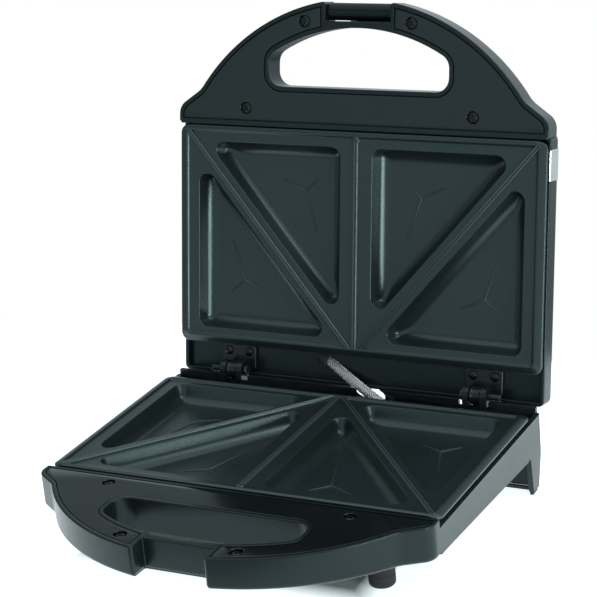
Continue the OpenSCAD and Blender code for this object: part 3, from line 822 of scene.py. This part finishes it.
def bar(path, section, taper=None):
    """A bar of the (across, height) section along a straight or bent flat path of (x, y, z) points, mitred at bends."""
    P = np.array(path, float)
    s = Solid()
    rows = []
    m = len(P)
    for i in range(m):
        d0 = P[i] - P[i - 1] if i else P[1] - P[0]
        d1 = P[i + 1] - P[i] if i < m - 1 else P[i] - P[i - 1]
        d0, d1 = d0[:2] / np.linalg.norm(d0[:2]), d1[:2] / np.linalg.norm(d1[:2])
        n0, n1 = np.array([d0[1], -d0[0]]), np.array([d1[1], -d1[0]])
        nn = (n0 + n1) / np.linalg.norm(n0 + n1)
        nn = nn / max(float(nn @ n0), 0.3)
        k = 1.0 if taper is None else taper[i]
        rows.append(s.loop([(P[i][0] + nn[0] * a * k, P[i][1] + nn[1] * a * k, P[i][2] + (h * k if h > 0 else h)) for a, h in section]))
    n = len(section)
    for a, b in zip(rows, rows[1:]):
        for i in range(n):
            j = (i + 1) % n
            s.f.append([a[i], b[i], b[j], a[j]])
    s.f.append(rows[0])
    s.f.append(rows[-1][::-1])
    return s


def y_mark(c, ends, z):
    """Three fine raised lines that meet in a pocket's floor."""
    s = Solid()
    sec = [(-0.8, -0.5), (-0.72, 0.0), (-0.42, 0.62), (-0.15, 0.76), (0.15, 0.76), (0.42, 0.62), (0.72, 0.0), (0.8, -0.5)]
    for e in ends:
        c2, e2 = np.array(c), np.array(e)
        path = [(*(c2 + (e2 - c2) * t), z) for t in (0.0, 0.5, 0.85, 1.0)]
        s.join(bar(path, sec, [1.0, 0.9, 0.6, 0.15]))
    return s


def plate_solid():
    px, py = 111.0, 63.0
    s = Solid()
    prof = [(3.9, LAND), (3.5, LAND + 0.06), (3.15, LAND + 0.3), (2.9, -0.45), (2.6, -0.16), (2.2, -0.02), (1.7, 0.0), (1.3, -0.06), (0.95, -0.2)]
    rows = [s.loop(rrect(-px, -py, px, py, 5.0, e, 8), z) for e, z in prof]
    flange = [(0.0, -0.52), (1.9, -1.3), (2.15, -1.5), (2.3, -1.8), (2.3, -2.45), (2.1, -2.7), (1.7, -2.8), (0.0, -2.8), (0.0, -5.3), (-0.3, -5.5)]
    rows += [s.loop(rrect(-px - f, -py - min(f, 0.0), px + f, py + f, 5.0, 0.0, 8), z) for f, z in flange]
    s.lathe(rows)
    tops, basins = [], []
    marks = [((-36.5, -27), [(-52, -34), (-27, -35.5), (-27.5, -1)]), ((-75.5, 27.5), [(-60, 34.5), (-85, 36), (-84.5, 1.5)])]
    extra = Solid()
    for sx in (1, -1):
        for P, (c, ends) in zip(POCKETS, marks):
            Q = P * np.array([sx, 1])
            pr = [s.loop(tri_loop(Q, d), LAND + z) for d, z in pocket_rows()]
            s.lathe(pr, True)
            s.cap(pr[-1], (), True)
            tops.append(pr[0])
            br = [s.loop(tri_loop(Q, d), z) for d, z in [(-2.2, -5.5), (-2.0, -6.2), (1.2, -11.4), (4.0, -12.9)]]
            s.lathe(br)
            s.cap(br[-1], (), False)
            basins.append(br[0])
            extra.join(y_mark((c[0] * sx, c[1]), [(x * sx, y) for x, y in ends], LAND - PD - 0.02))
    s.cap(rows[0], tops, True)
    s.cap(rows[-1], basins, False)
    h = -LAND + 0.05
    sec = [(-1.5, -0.5), (-1.42, 0.2), (-1.3, 0.72), (-1.05, h - 0.12), (-0.75, h), (-0.45, h - 0.1), (-0.2, h - 0.42), (0.2, h - 0.42), (0.45, h - 0.1), (0.75, h), (1.05, h - 0.12), (1.3, 0.72), (1.42, 0.2), (1.5, -0.5)]
    wide = [(a * 1.13, b) for a, b in sec]
    s.join(bar([(0, -60.3, LAND), (0, 60.3, LAND)], wide))
    for sx in (1, -1):
        a, b = (D0[0] * sx, D0[1], LAND), (D1[0] * sx, D1[1], LAND)
        s.join(bar([a, b] if sx == 1 else [b, a], sec))
    knob = turned([(0, -0.5), (2.3, -0.5), (2.3, 0.4), (1.9, 0.95), (1.2, 1.2), (0, 1.25)], 24)
    s.join(knob.shift(0, -58.4, LAND))
    s.join(extra)
    return s


# ---------------------------------------------------------------- build: handles
slab_b = handle_slab(GRIP_T, 0.0, 2.6, 0.6)


def rake(p):
    """The base's handle is a little shallower at its front than at the body."""
    x, y, z = p
    deep = 16.9 + 3.1 * min(1.0, max(0.0, (y + 139.0) / 76.0))
    return (x, y, z if z > -3 else -3 + (z + 3) * (deep - 3) / (GRIP_T - 3))


slab_b.v = [rake(p) for p in slab_b.v]
slab_b = slab_b.shift(z=BASE_FACE)
slab_l = handle_slab(GRIP_L, 0.2, 1.6, 0.5).shift(z=BASE_FACE).flip()
obj("base_handle", slab_b, to_base, M["housing"], "base", "housing_plastic", ["base_housing"])
obj("lid_handle", slab_l, to_lid, M["housing"], "lid", "housing_plastic", ["lid_housing"])
obj("base_cover_plate", cover_plate().shift(z=BASE_FACE), to_base, M["cover"], "base", "cover_plastic", ["base_handle_cover"])
obj("lid_cover_plate", cover_plate().shift(z=BASE_FACE).flip(), to_lid, M["cover"], "lid", "cover_plastic", ["lid_handle_cover"])
pts = [(x, y, BASE_FACE - 1.98) for x, y in SCREWS]
obj("base_cover_screws", screw_group(pts, (20, 65, 38, 8)), to_base, M["black_screw"], "base", "steel", ["base_handle_screws"], sharp=30)
obj("lid_cover_screws", screw_group(pts, (50, 12, 75, 30)).flip(), to_lid, M["black_screw"], "lid", "steel", ["lid_handle_screws"], sharp=30)

# ---------------------------------------------------------------- build: plates
PLATE = plate_solid()
obj("lower_cooking_plate", PLATE, to_base, M["coating"], "base", "coated_aluminium", ["lower_plate"], sharp=50)
obj("upper_cooking_plate", PLATE.flip(), to_lid, M["coating"], "lid", "coated_aluminium", ["upper_plate"], sharp=50)


# ---------------------------------------------------------------- build: lower housing
def low(y):
    return -19.2 - 0.048 * (y + 74)


EDGE_B, EDGE_L, WALL, FOOT_Z, LEG_IN = -5.3, 7.2, 2.5, -48.0, 24.0
YB0 = -65.05


def side_profile(t):
    d = 60 if t > 0 else 0
    f = 30 if t > 0 else 0
    foot = [(57.5 + 0.2 * t, low(57.5) - d), (58.8 + 0.2 * t, low(57.5) + 0.9 - d), (60.4, low(57.5) + 0.4 - d), (61.2, low(57.5) - 1.2 - d), (66.5, FOOT_Z - f), (74.6 - t, FOOT_Z - f), (79 - t, -12), (79 - t, EDGE_B + 5 * t)]
    y0 = YB0 + (2.2 if t > 0 else 0)
    front = [(y0, low(y0) - 5 * t)] if t > 0 else [(y0, -19.6), (y0 + 1.0, -19.9), (y0 + 6.0, low(y0 + 6.0))]
    return [(y0, EDGE_B + 5 * t)] + front + foot


def plan(x0, y0, x1, y1, r):
    """Square at the front, round at the rear corners."""
    return np.concatenate([[[x0, y0], [x1, y0]], arc((x1 - r, y1 - r), r, 0, 90, 8), arc((x0 + r, y1 - r), r, 90, 180, 8)])


def wall_ring_mesh():
    first = prism_x(side_profile(0), -HH, HH)
    steps = [("INTERSECT", prism(plan(-HH, YB0 - 3, HH, 79, 2.6), -60, 20))]
    hole = prism_x(side_profile(WALL), -HW + WALL, HW - WALL)
    inner_plan = prism(plan(-HW + WALL, YB0 + 2.2, HW - WALL, 79 - WALL, 1.0), -90, 40)
    inner = csg(hole, [("INTERSECT", inner_plan)], place=lambda p: p)
    s = Solid()
    s.v = [tuple(v.co) for v in inner.vertices]
    s.f = [list(p.vertices) for p in inner.polygons]
    bpy.data.meshes.remove(inner)
    steps.append(("DIFFERENCE", s))
    steps.append(("DIFFERENCE", box(-HW + LEG_IN, 60, -60, HW - LEG_IN, 92, -26)))
    steps.append(("DIFFERENCE", box(53.1, 70, -30, 62.9, 90, -12.6)))
    for x0, x1 in ((-112, -84.2), (-66.6, 66.6), (84.2, 112)):
        steps.append(("UNION", box(x0, 76.5, -7.0, x1, 79.0, -1.8)))
    a, b = np.array([27.0, 71.0, -9.5]), np.array([-21.0, 92.746, 7.618])
    t = (b - a) / np.linalg.norm(b - a)
    steps.append(("DIFFERENCE", tube([a - 12 * t, a, a + 15 * t, a + 30 * t], 4.6, 28)))
    me = csg(first, steps)
    for v in me.vertices:  # the legs lean in a little towards the table
        z = v.co.z * 1000 - ZS
        if z < -27:
            v.co.x -= math.copysign(0.0013 * (-27 - z) / 21, v.co.x)
    return me


from_mesh("base_walls", wall_ring_mesh(), mat=M["housing"], body="base", slot="housing_plastic", bevel=0.45, segs=3, sharp=35)


def ledge(yb):
    return prism(rrect(-HW + 1.6, FRONT + 3.0, HW - 1.6, yb - 1.4, 4), -12, -9.5, [rrect(-104, -60, 104, 60, 3)])


def ear(x0):
    prof = np.concatenate([arc((HY, HZ), 5.4, -60, 168, 22), [(74.3, -3.0), (74.3, -13.8), (80.2, -13.8)]])
    s = prism_x([tuple(p) for p in prof], x0, x0 + 3.5)
    return s


inner_b = ledge(79)
for sx in (1, -1):
    for x0 in (69.5, 80.0):
        e = ear(x0)
        inner_b.join(e if sx == 1 else e.mirror(0))
obj("base_ledge_and_hinge_ears", inner_b, to_base, M["housing"], "base", "housing_plastic", bevel=0.35, segs=2)


def pin(x):
    s = turned([(0, 0), (3.1, 0), (3.4, 0.3), (3.4, 1.3), (3.1, 1.6), (2.0, 1.6), (2.0, 23.0), (1.7, 23.4), (0, 23.4)], 32)
    return along_x(s, x, HY, HZ)


pins = pin(67.3).join(pin(67.3).mirror(0))
obj("hinge_pin_pair", pins, to_base, M["hinge"], "base", "steel", ["hinge_pins"], sharp=30)


# rubber feet
def foot():
    return turned([(0, 0), (5.6, 0), (6.3, 0.25), (6.9, 0.9), (7.1, 1.8), (7.15, 6.0), (6.85, 6.5), (6.85, 7.3), (7.15, 7.8), (7.5, 13.9), (8.1, 14.7), (8.3, 15.4), (8.3, 16.0), (2.5, 16.0), (2.5, 19.5), (0, 19.5)], 48)


feet = foot().shift(73, -50, -50).join(foot().shift(-73, -50, -50))
obj("rubber_feet", feet, to_base, M["rubber"], "base", "foot_rubber", ["front_feet"], sharp=50)


pads = Solid()
for sx in (1, -1):
    d = 1.3
    q = rbox(HW - WALL + 0.2 - d, 66.9, -50, HW - 0.2 - d, 74.2, -48, 0.5, 3, 0.25)
    q.join(rbox(HW - LEG_IN + 0.4 - d, 72.3, -50, HW - 0.6 - d, 74.15, -48, 0.5, 3, 0.25))
    pads.join(q if sx == 1 else q.mirror(0))
obj("leg_pads", pads, to_base, M["rubber"], "base", "foot_rubber", ["rear_foot_pads"])


# ---------------------------------------------------------------- build: lid
def dome_curve():
    """(height, share of the inset) of the lid's section, from its rim up to its top."""
    pts = fillet([(0.0, EDGE_L), (0.0, 20.0), (14.5, 38.0), (40.0, 38.0)], (9.0, 10.0), 8)
    out = [(z, min(x, 14.5) / 14.5) for x, z in pts if x <= 14.5 + 1e-6 or z < 37.99]
    return [(z, x) for z, x in out]


DOME = dome_curve()


def dome_loop(k, e=0.0, r=3.4, grow=0.0):
    x, f, b = HW - 14.5 * k - e, FRONT + 3.0 * k + e, 84.0 - 10.0 * k - e
    return rrect(-x, f, x, b, max(r - e, 0.8) + 9.0 * k, 0.0, 10)


def dome_solid():
    s = Solid()
    top_k = DOME[-1][1]
    rows = []
    seq = list(reversed(DOME))
    # a flat cap closes the top
    outer = [s.loop(dome_loop(k, 0.0), z) for z, k in seq[:-1]]
    outer += [s.loop(dome_loop(0.0, e), z) for e, z in [(0.0, EDGE_L + 0.7), (0.2, EDGE_L + 0.2), (0.7, EDGE_L)]]
    inner = [s.loop(dome_loop(0.0, e), z) for e, z in [(WALL - 0.4, EDGE_L), (WALL, EDGE_L + 0.4), (WALL, 19.0)]]
    inner += [s.loop(dome_loop(0.85, WALL), 34.0), s.loop(dome_loop(1.0, WALL + 1.2), 35.5)]
    rows = outer + inner
    s.lathe(rows)
    s.cap(rows[0], (), True)
    s.cap(rows[-1], (), False)
    return s


obj("lid_shell", dome_solid(), to_lid, M["housing"], "lid", "housing_plastic", sharp=50)


def front_wall():
    return rbox(-HW + 0.6, -66.0, 1.75, HW - 0.6, -63.85, 9.7, 0.6, 2, 0.3)


lid_in = front_wall()
lg = prism(rrect(-HW + 1.6, FRONT + 1.5, HW - 1.6, 82.6, 4), -12, -9.5, [rrect(-104, -60, 104, 60, 3)]).flip()
lid_in.join(lg)
obj("lid_ledge", lid_in, to_lid, M["housing"], "lid", "housing_plastic", bevel=0.25, segs=2)


# steel band round the lid
def across(g):
    half = [(HW - 14.5 * k, z) for z, k in DOME]
    out = []
    for (x0, z0), (x1, z1) in zip(half, half[1:] + [(0.0, 38.0)]):
        pass
    pts = np.array(half + [(0.0, 38.0)])
    t = np.gradient(pts, axis=0)
    t /= np.linalg.norm(t, axis=1)[:, None]
    nrm = np.stack([t[:, 1], -t[:, 0]], 1)
    return pts + nrm * g


def band():
    """A thin steel strip that follows the lid's section, with rolled ends and raised borders."""
    o = across(0.6)
    i = across(0.05)
    o = np.concatenate([[[HW - 1.9, EDGE_L - 1.15], [HW + 0.15, EDGE_L - 1.15], [HW + 0.5, EDGE_L - 0.75]], o])
    i = np.concatenate([[[HW - 1.9, EDGE_L - 0.3], [HW - 0.4, EDGE_L - 0.3], [HW + 0.02, EDGE_L - 0.1]], i])
    o[:, 0] = np.minimum(o[:, 0], HW + 0.58)
    left_o, left_i = o[::-1][1:] * [-1, 1], i[::-1][1:] * [-1, 1]
    O, I = np.concatenate([o, left_o]), np.concatenate([i, left_i])
    ys = [(-58.0, 0.25), (-57.75, 0.0), (-57.0, 0.0), (-56.8, 0.12), (-42.2, 0.12), (-42.0, 0.0), (-41.25, 0.0), (-41.0, 0.25)]
    s = Solid()
    n = len(O)
    rows = []
    for y, dip in ys:
        Ox = O + (I - O) * min(dip / 0.55, 0.9)
        sec = np.concatenate([Ox, I[::-1]])
        rows.append(s.loop([(p[0], y, p[1]) for p in sec]))
    m = 2 * n
    for a, b in zip(rows, rows[1:]):
        for k in range(m):
            j = (k + 1) % m
            s.f.append([a[k], b[k], b[j], a[j]])
    # end faces as strips of quads between the two sides
    for row, rev in ((rows[0], False), (rows[-1], True)):
        for k in range(n - 1):
            q = [row[k], row[k + 1], row[m - 2 - k], row[m - 1 - k]]
            s.f.append(q[::-1] if rev else q)
    return s


obj("steel_band", band(), to_lid, M["band"], "lid", "band_steel", ["lid_trim_band"], sharp=30)


def lens(x):
    return turned([(0, 0), (3.9, 0), (3.9, 5.1), (5.0, 5.3), (5.2, 5.6), (5.15, 5.95), (4.7, 6.3), (4.3, 6.35), (4.1, 6.7), (3.2, 7.0), (1.6, 7.1), (0, 7.1)], 36).shift(x, -49.5, 38 - 4.6)


obj("power_light", lens(-14), to_lid, M["red"], "lid", "red_lens", ["power_lens"], sharp=35)
obj("ready_light", lens(14), to_lid, M["green"], "lid", "green_lens", ["ready_lens"], sharp=35)


# hinge brackets
def rot_x(p, a, cy, cz):
    a = math.radians(a)
    c, s = math.cos(a), math.sin(a)
    y, z = p[0] - cy, p[1] - cz
    return (cy + y * c - z * s, cz + y * s + z * c)


def heel(dy, dz):
    return rot_x((79.0 + dy, HZ + dz), OPEN, HY, HZ)


def bracket():
    s = Solid()
    # knuckle: a barrel with raised end rings
    k = turned([(0, 0), (4.3, 0), (4.9, 0.25), (5.0, 0.6), (5.0, 1.3), (4.62, 1.5), (4.62, 4.7), (5.0, 4.9), (5.0, 5.6), (4.9, 5.95), (4.3, 6.2), (0, 6.2)], 40)
    s.join(along_x(k, 73.4, HY, HZ))
    s.join(prism_x([(75.6, HZ + 1.5), (80.8, HZ + 1.5), (80.8, 9.4), (75.6, 9.4)], 73.8, 79.2))
    hl = [(HY + 2, HZ - 1), heel(0.3, -2), heel(0.3, -9), heel(2.8, -9), heel(3.6, -2.5), (HY + 1, HZ + 4.5)]
    s.join(prism_x(hl, 73.8, 79.2))
    s.join(rbox(66.5, 65.5, 8.5, 88.5, 81.0, 10.7, 2.0, 4, 0.35))
    return s


br = bracket()
br2 = bracket().mirror(0)
obj("hinge_knuckles", br.join(br2), to_lid, M["hinge"], "lid", "hinge_steel", ["lid_hinge_brackets"], sharp=35, bevel=0.3)
pts = [(s * x, 70.0, 8.35) for s in (-1, 1) for x in (71.0, 84.0)]
hs = Solid()
for (x, y, z), a in zip(pts, (15, 60, 40, 80)):
    h = turn_z(SCREW, a).moved(lambda p: p * np.array([0.92, 0.92, -0.75]))
    h.f = [f[::-1] for f in h.f]
    hs.join(h.shift(x, y, z + 0.1))
obj("hinge_bracket_screws", hs, to_lid, M["black_screw"], "lid", "steel", ["lid_hinge_screws"], sharp=30)


# ---------------------------------------------------------------- build: wiring sleeve
def sleeve():
    A = np.array([27.0, 71.0, -9.5])
    B = np.array([-21.0, 70.0, 12.0])
    a = math.radians(-OPEN)
    y, z = B[1] - HY, B[2] - HZ
    B = np.array([B[0], HY + y * math.cos(a) - z * math.sin(a), HZ + y * math.sin(a) + z * math.cos(a)])
    d = B - A
    L = np.linalg.norm(d)
    t = d / L
    A2, L2 = A - t * 4.0, L + 8.0
    u = np.cross(t, [0, 0, 1.0])
    u /= np.linalg.norm(u)
    w = np.cross(u, t)
    q = np.linspace(0, 1, 161)
    sag = -1.3 * np.sin(np.pi * q)
    mid = A2 + t * (q * L2)[:, None] + w * sag[:, None]
    braid = Solid()
    # flat strands wound both ways, each pair passing over and under the others
    strands, lead, R = 7, 11.0, 2.55
    for way in (1, -1):
        for k in range(strands):
            ang = way * (q * L2 / lead * 2 * math.pi) + k * 2 * math.pi / strands
            over = 0.17 * np.cos(q * L2 / lead * 2 * math.pi * strands + way * math.pi / 2 + math.pi * k)
            rad = (R + over)[:, None]
            braid.join(tube(mid + rad * (np.cos(ang)[:, None] * u + np.sin(ang)[:, None] * w), 0.27, 6))
    core = tube(mid[::8], 2.3, 16)
    return braid, core, A, B


coil, core, SA, SB = sleeve()
o = obj("spring_sleeve", coil, to_base, M["sleeve"], None, "sleeve_steel", sharp=80, weighted=False, fix=False)
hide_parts("wiring_sleeve")
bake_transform(o)
o = obj("sleeve_lining", core, to_base, M["rubber"], None, "gland_rubber", sharp=80, weighted=False, fix=False)
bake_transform(o)


# ---------------------------------------------------------------- build: clip
LATCH = 195.0
PIV = (-129.75, 9.0)


def clip_place(p):
    a = math.radians(-LATCH)
    c, s = math.cos(a), math.sin(a)
    y, z = p[:, 1] - PIV[0], p[:, 2] - PIV[1]
    q = np.stack([p[:, 0], PIV[0] + y * c - z * s, PIV[1] + y * s + z * c], 1)
    return to_lid(q)


def clip():
    s = along_x(turned([(0, 0), (4.3, 0), (4.75, 0.25), (4.9, 0.6), (4.9, 35.6), (4.75, 35.75), (4.75, 36.15), (4.9, 36.3), (4.9, 38.2), (4.75, 38.55), (4.3, 38.8), (0, 38.8)], 40), -19.4, PIV[0], PIV[1])
    arm = fillet([(-126.2, 6.0), (-130.0, 6.0), (-130.0, -21.4), (-128.6, -23.0), (-123.6, -23.0), (-121.9, -21.0), (-121.9, -19.8), (-125.6, -19.8), (-125.6, 6.0)], (0.3, 1.0, 1.2, 0.9, 0.5, 0.3, 1.2), 3)
    s.join(prism_x(arm, -17, 17))
    s.join(rbox(-15, -131.4, -5.5, 15, -129.4, -2.5, 0.5, 2, 0.3))
    for z in (-9.0, -12.0, -15.0, -18.0):  # grip ribs on the arm's outer face
        s.join(rbox(-13, -130.35, z - 0.6, 13, -129.6, z + 0.6, 0.3, 2, 0.2))
    return s


obj("clip", clip(), clip_place, M["clip"], "clip", "clip_plastic", ["latch_clip"], sharp=35, bevel=0.35)

# ---------------------------------------------------------------- carried-over CAD nodes
CARRY = {
    "base_sleeve_collar": "gland", "lid_sleeve_collar": "gland", "cord_gland": "gland",
    "bottom_cover": "housing", "bottom_cover_screws": "steel", "lower_plate_screws": "steel", "upper_plate_screws": "steel",
    "lower_element": "sheath", "upper_element": "sheath", "lower_element_clips": "steel", "upper_element_clips": "steel",
    "lower_reflector": "reflector", "upper_reflector": "reflector", "terminal_block": "ceramic", "base_wires": "wire", "lid_wires": "wire",
    "indicator_lamps": "glass", "thermostat": "steel", "thermal_fuse": "steel", "latch_pin": "steel",
}
SLOT = {"gland": "gland_rubber", "rubber": "foot_rubber", "housing": "housing_plastic", "steel": "steel", "sheath": "element_sheath",
        "reflector": "reflector_metal", "ceramic": "ceramic", "wire": "wire_jacket", "glass": "lamp_glass"}
for name, key in CARRY.items():
    o = frame["nodes"][name]
    o.data.materials.clear()
    o.data.materials.append(M[key])
for name, w in (("bottom_cover", 0.4), ("cord_gland", 0.3)):
    o = frame["nodes"][name]
    b = o.modifiers.new("edges", "BEVEL")
    b.width, b.segments, b.limit_method, b.angle_limit = w / 1000, 2, "ANGLE", math.radians(40)

# ---------------------------------------------------------------- floor and light
me = bpy.data.meshes.new("floor")
me.from_pydata([(-0.35, -0.22, 0), (0.45, -0.22, 0), (0.45, 0.24, 0), (-0.35, 0.24, 0)], [], [(0, 1, 2, 3)])
floor = bpy.data.objects.new("floor", me)
SCENE.collection.objects.link(floor)
fm = Nodes("floor_white")
sep = fm.t.nodes.new("ShaderNodeSeparateXYZ")
fm.link(fm.co, sep.inputs[0])
dx = fm.math("SUBTRACT", fm.math("ABSOLUTE", fm.math("ADD", sep.outputs[0], 0.014)), 0.089)
dy = fm.math("SUBTRACT", fm.math("ABSOLUTE", fm.math("SUBTRACT", sep.outputs[1], 0.018)), 0.104)
clear = fm.ramp(fm.math("MAXIMUM", dx, dy), 0.0, 1.0, -0.014, 0.0)  # painted shadow: the floor's glow stops under the object, so the floor is dark there
fm.put(fm.b.inputs["Base Color"], fm.mix(fm.noise(3.0), (0.86, 0.86, 0.86), (0.9, 0.9, 0.9)))
fm.b.inputs["Roughness"].default_value = 0.9
# Painted shadow: the floor gives off no light under the object.
fm.put(fm.b.inputs["Emission Color"], fm.mix(clear, (0.0, 0.0, 0.0), fm.mix(fm.noise(2.0), (0.86, 0.96, 0.98), (0.88, 0.98, 1.0))))
fm.b.inputs["Emission Strength"].default_value = 0.95
fm.b.inputs["Specular IOR Level"].default_value = 0.1
me.materials.append(fm.mat)


def area(name, loc, target, size, size_y, power, colour=(1, 1, 1)):
    d = bpy.data.lights.new(name, "AREA")
    d.shape = "RECTANGLE"
    d.size, d.size_y = size, size_y
    d.energy = power
    d.color = colour
    o = bpy.data.objects.new(name, d)
    SCENE.collection.objects.link(o)
    o.location = loc
    o.rotation_mode = "QUATERNION"
    o.rotation_quaternion = (Vector(target) - Vector(loc)).to_track_quat("-Z", "Y")
    return o


area("ceiling", (0.2, 0.1, 2.2), (0.2, 0.1, 0.0), 3.6, 3.6, 31.0, (0.90, 0.98, 1.0))
area("right_fill", (0.62, 0.12, 0.75), (0.30, 0.02, 0.0), 0.5, 0.5, 2.6)
area("right_panel", (1.05, -0.42, 0.05), (0.0, 0.10, 0.15), 0.5, 0.45, 8.0, (0.88, 0.99, 1.0))

w = bpy.data.worlds.new("studio")
SCENE.world = w
w.use_nodes = True
wt = w.node_tree
bg = wt.nodes["Background"]
lp = wt.nodes.new("ShaderNodeLightPath")
mixc = wt.nodes.new("ShaderNodeMix")
mixc.data_type = "RGBA"
mixc.inputs[6].default_value = (0.31, 0.38, 0.39, 1)
mixc.inputs[7].default_value = (1, 1, 1, 1)
wt.links.new(lp.outputs["Is Camera Ray"], mixc.inputs[0])
wc = wt.nodes.new("ShaderNodeSeparateXYZ")
wt.links.new(wt.nodes.new("ShaderNodeTexCoord").outputs["Generated"], wc.inputs[0])


def wmap(sock, a, b):
    n = wt.nodes.new("ShaderNodeMapRange")
    n.inputs["From Min"].default_value, n.inputs["From Max"].default_value = a, b
    wt.links.new(wc.outputs[sock], n.inputs["Value"])
    return n.outputs[0]


def wmul(a, b):
    n = wt.nodes.new("ShaderNodeMath")
    n.operation = "MULTIPLY"
    wt.links.new(a, n.inputs[0])
    wt.links.new(b, n.inputs[1])
    return n.outputs[0]


def wmix(fac, a, b):
    n = wt.nodes.new("ShaderNodeMix")
    n.data_type = "RGBA"
    wt.links.new(fac, n.inputs[0])
    if isinstance(a, tuple):
        n.inputs[6].default_value = a
    else:
        wt.links.new(a, n.inputs[6])
    n.inputs[7].default_value = b
    return n.outputs[2]


room = wmix(wmul(wmap(1, -0.72, -0.88), wmap(2, -0.30, -0.08)), (0.30, 0.37, 0.38, 1), (0.66, 0.78, 0.80, 1))
room = wmix(wmul(wmap(1, 0.76, 0.88), wmap(2, -0.34, -0.27)), room, (0.80, 0.92, 0.94, 1))
wt.links.new(room, mixc.inputs[6])
wt.links.new(mixc.outputs[2], bg.inputs[0])
bg.inputs[1].default_value = 1.0
SCENE.view_settings.view_transform = "Standard"
SCENE.view_settings.look = "None"
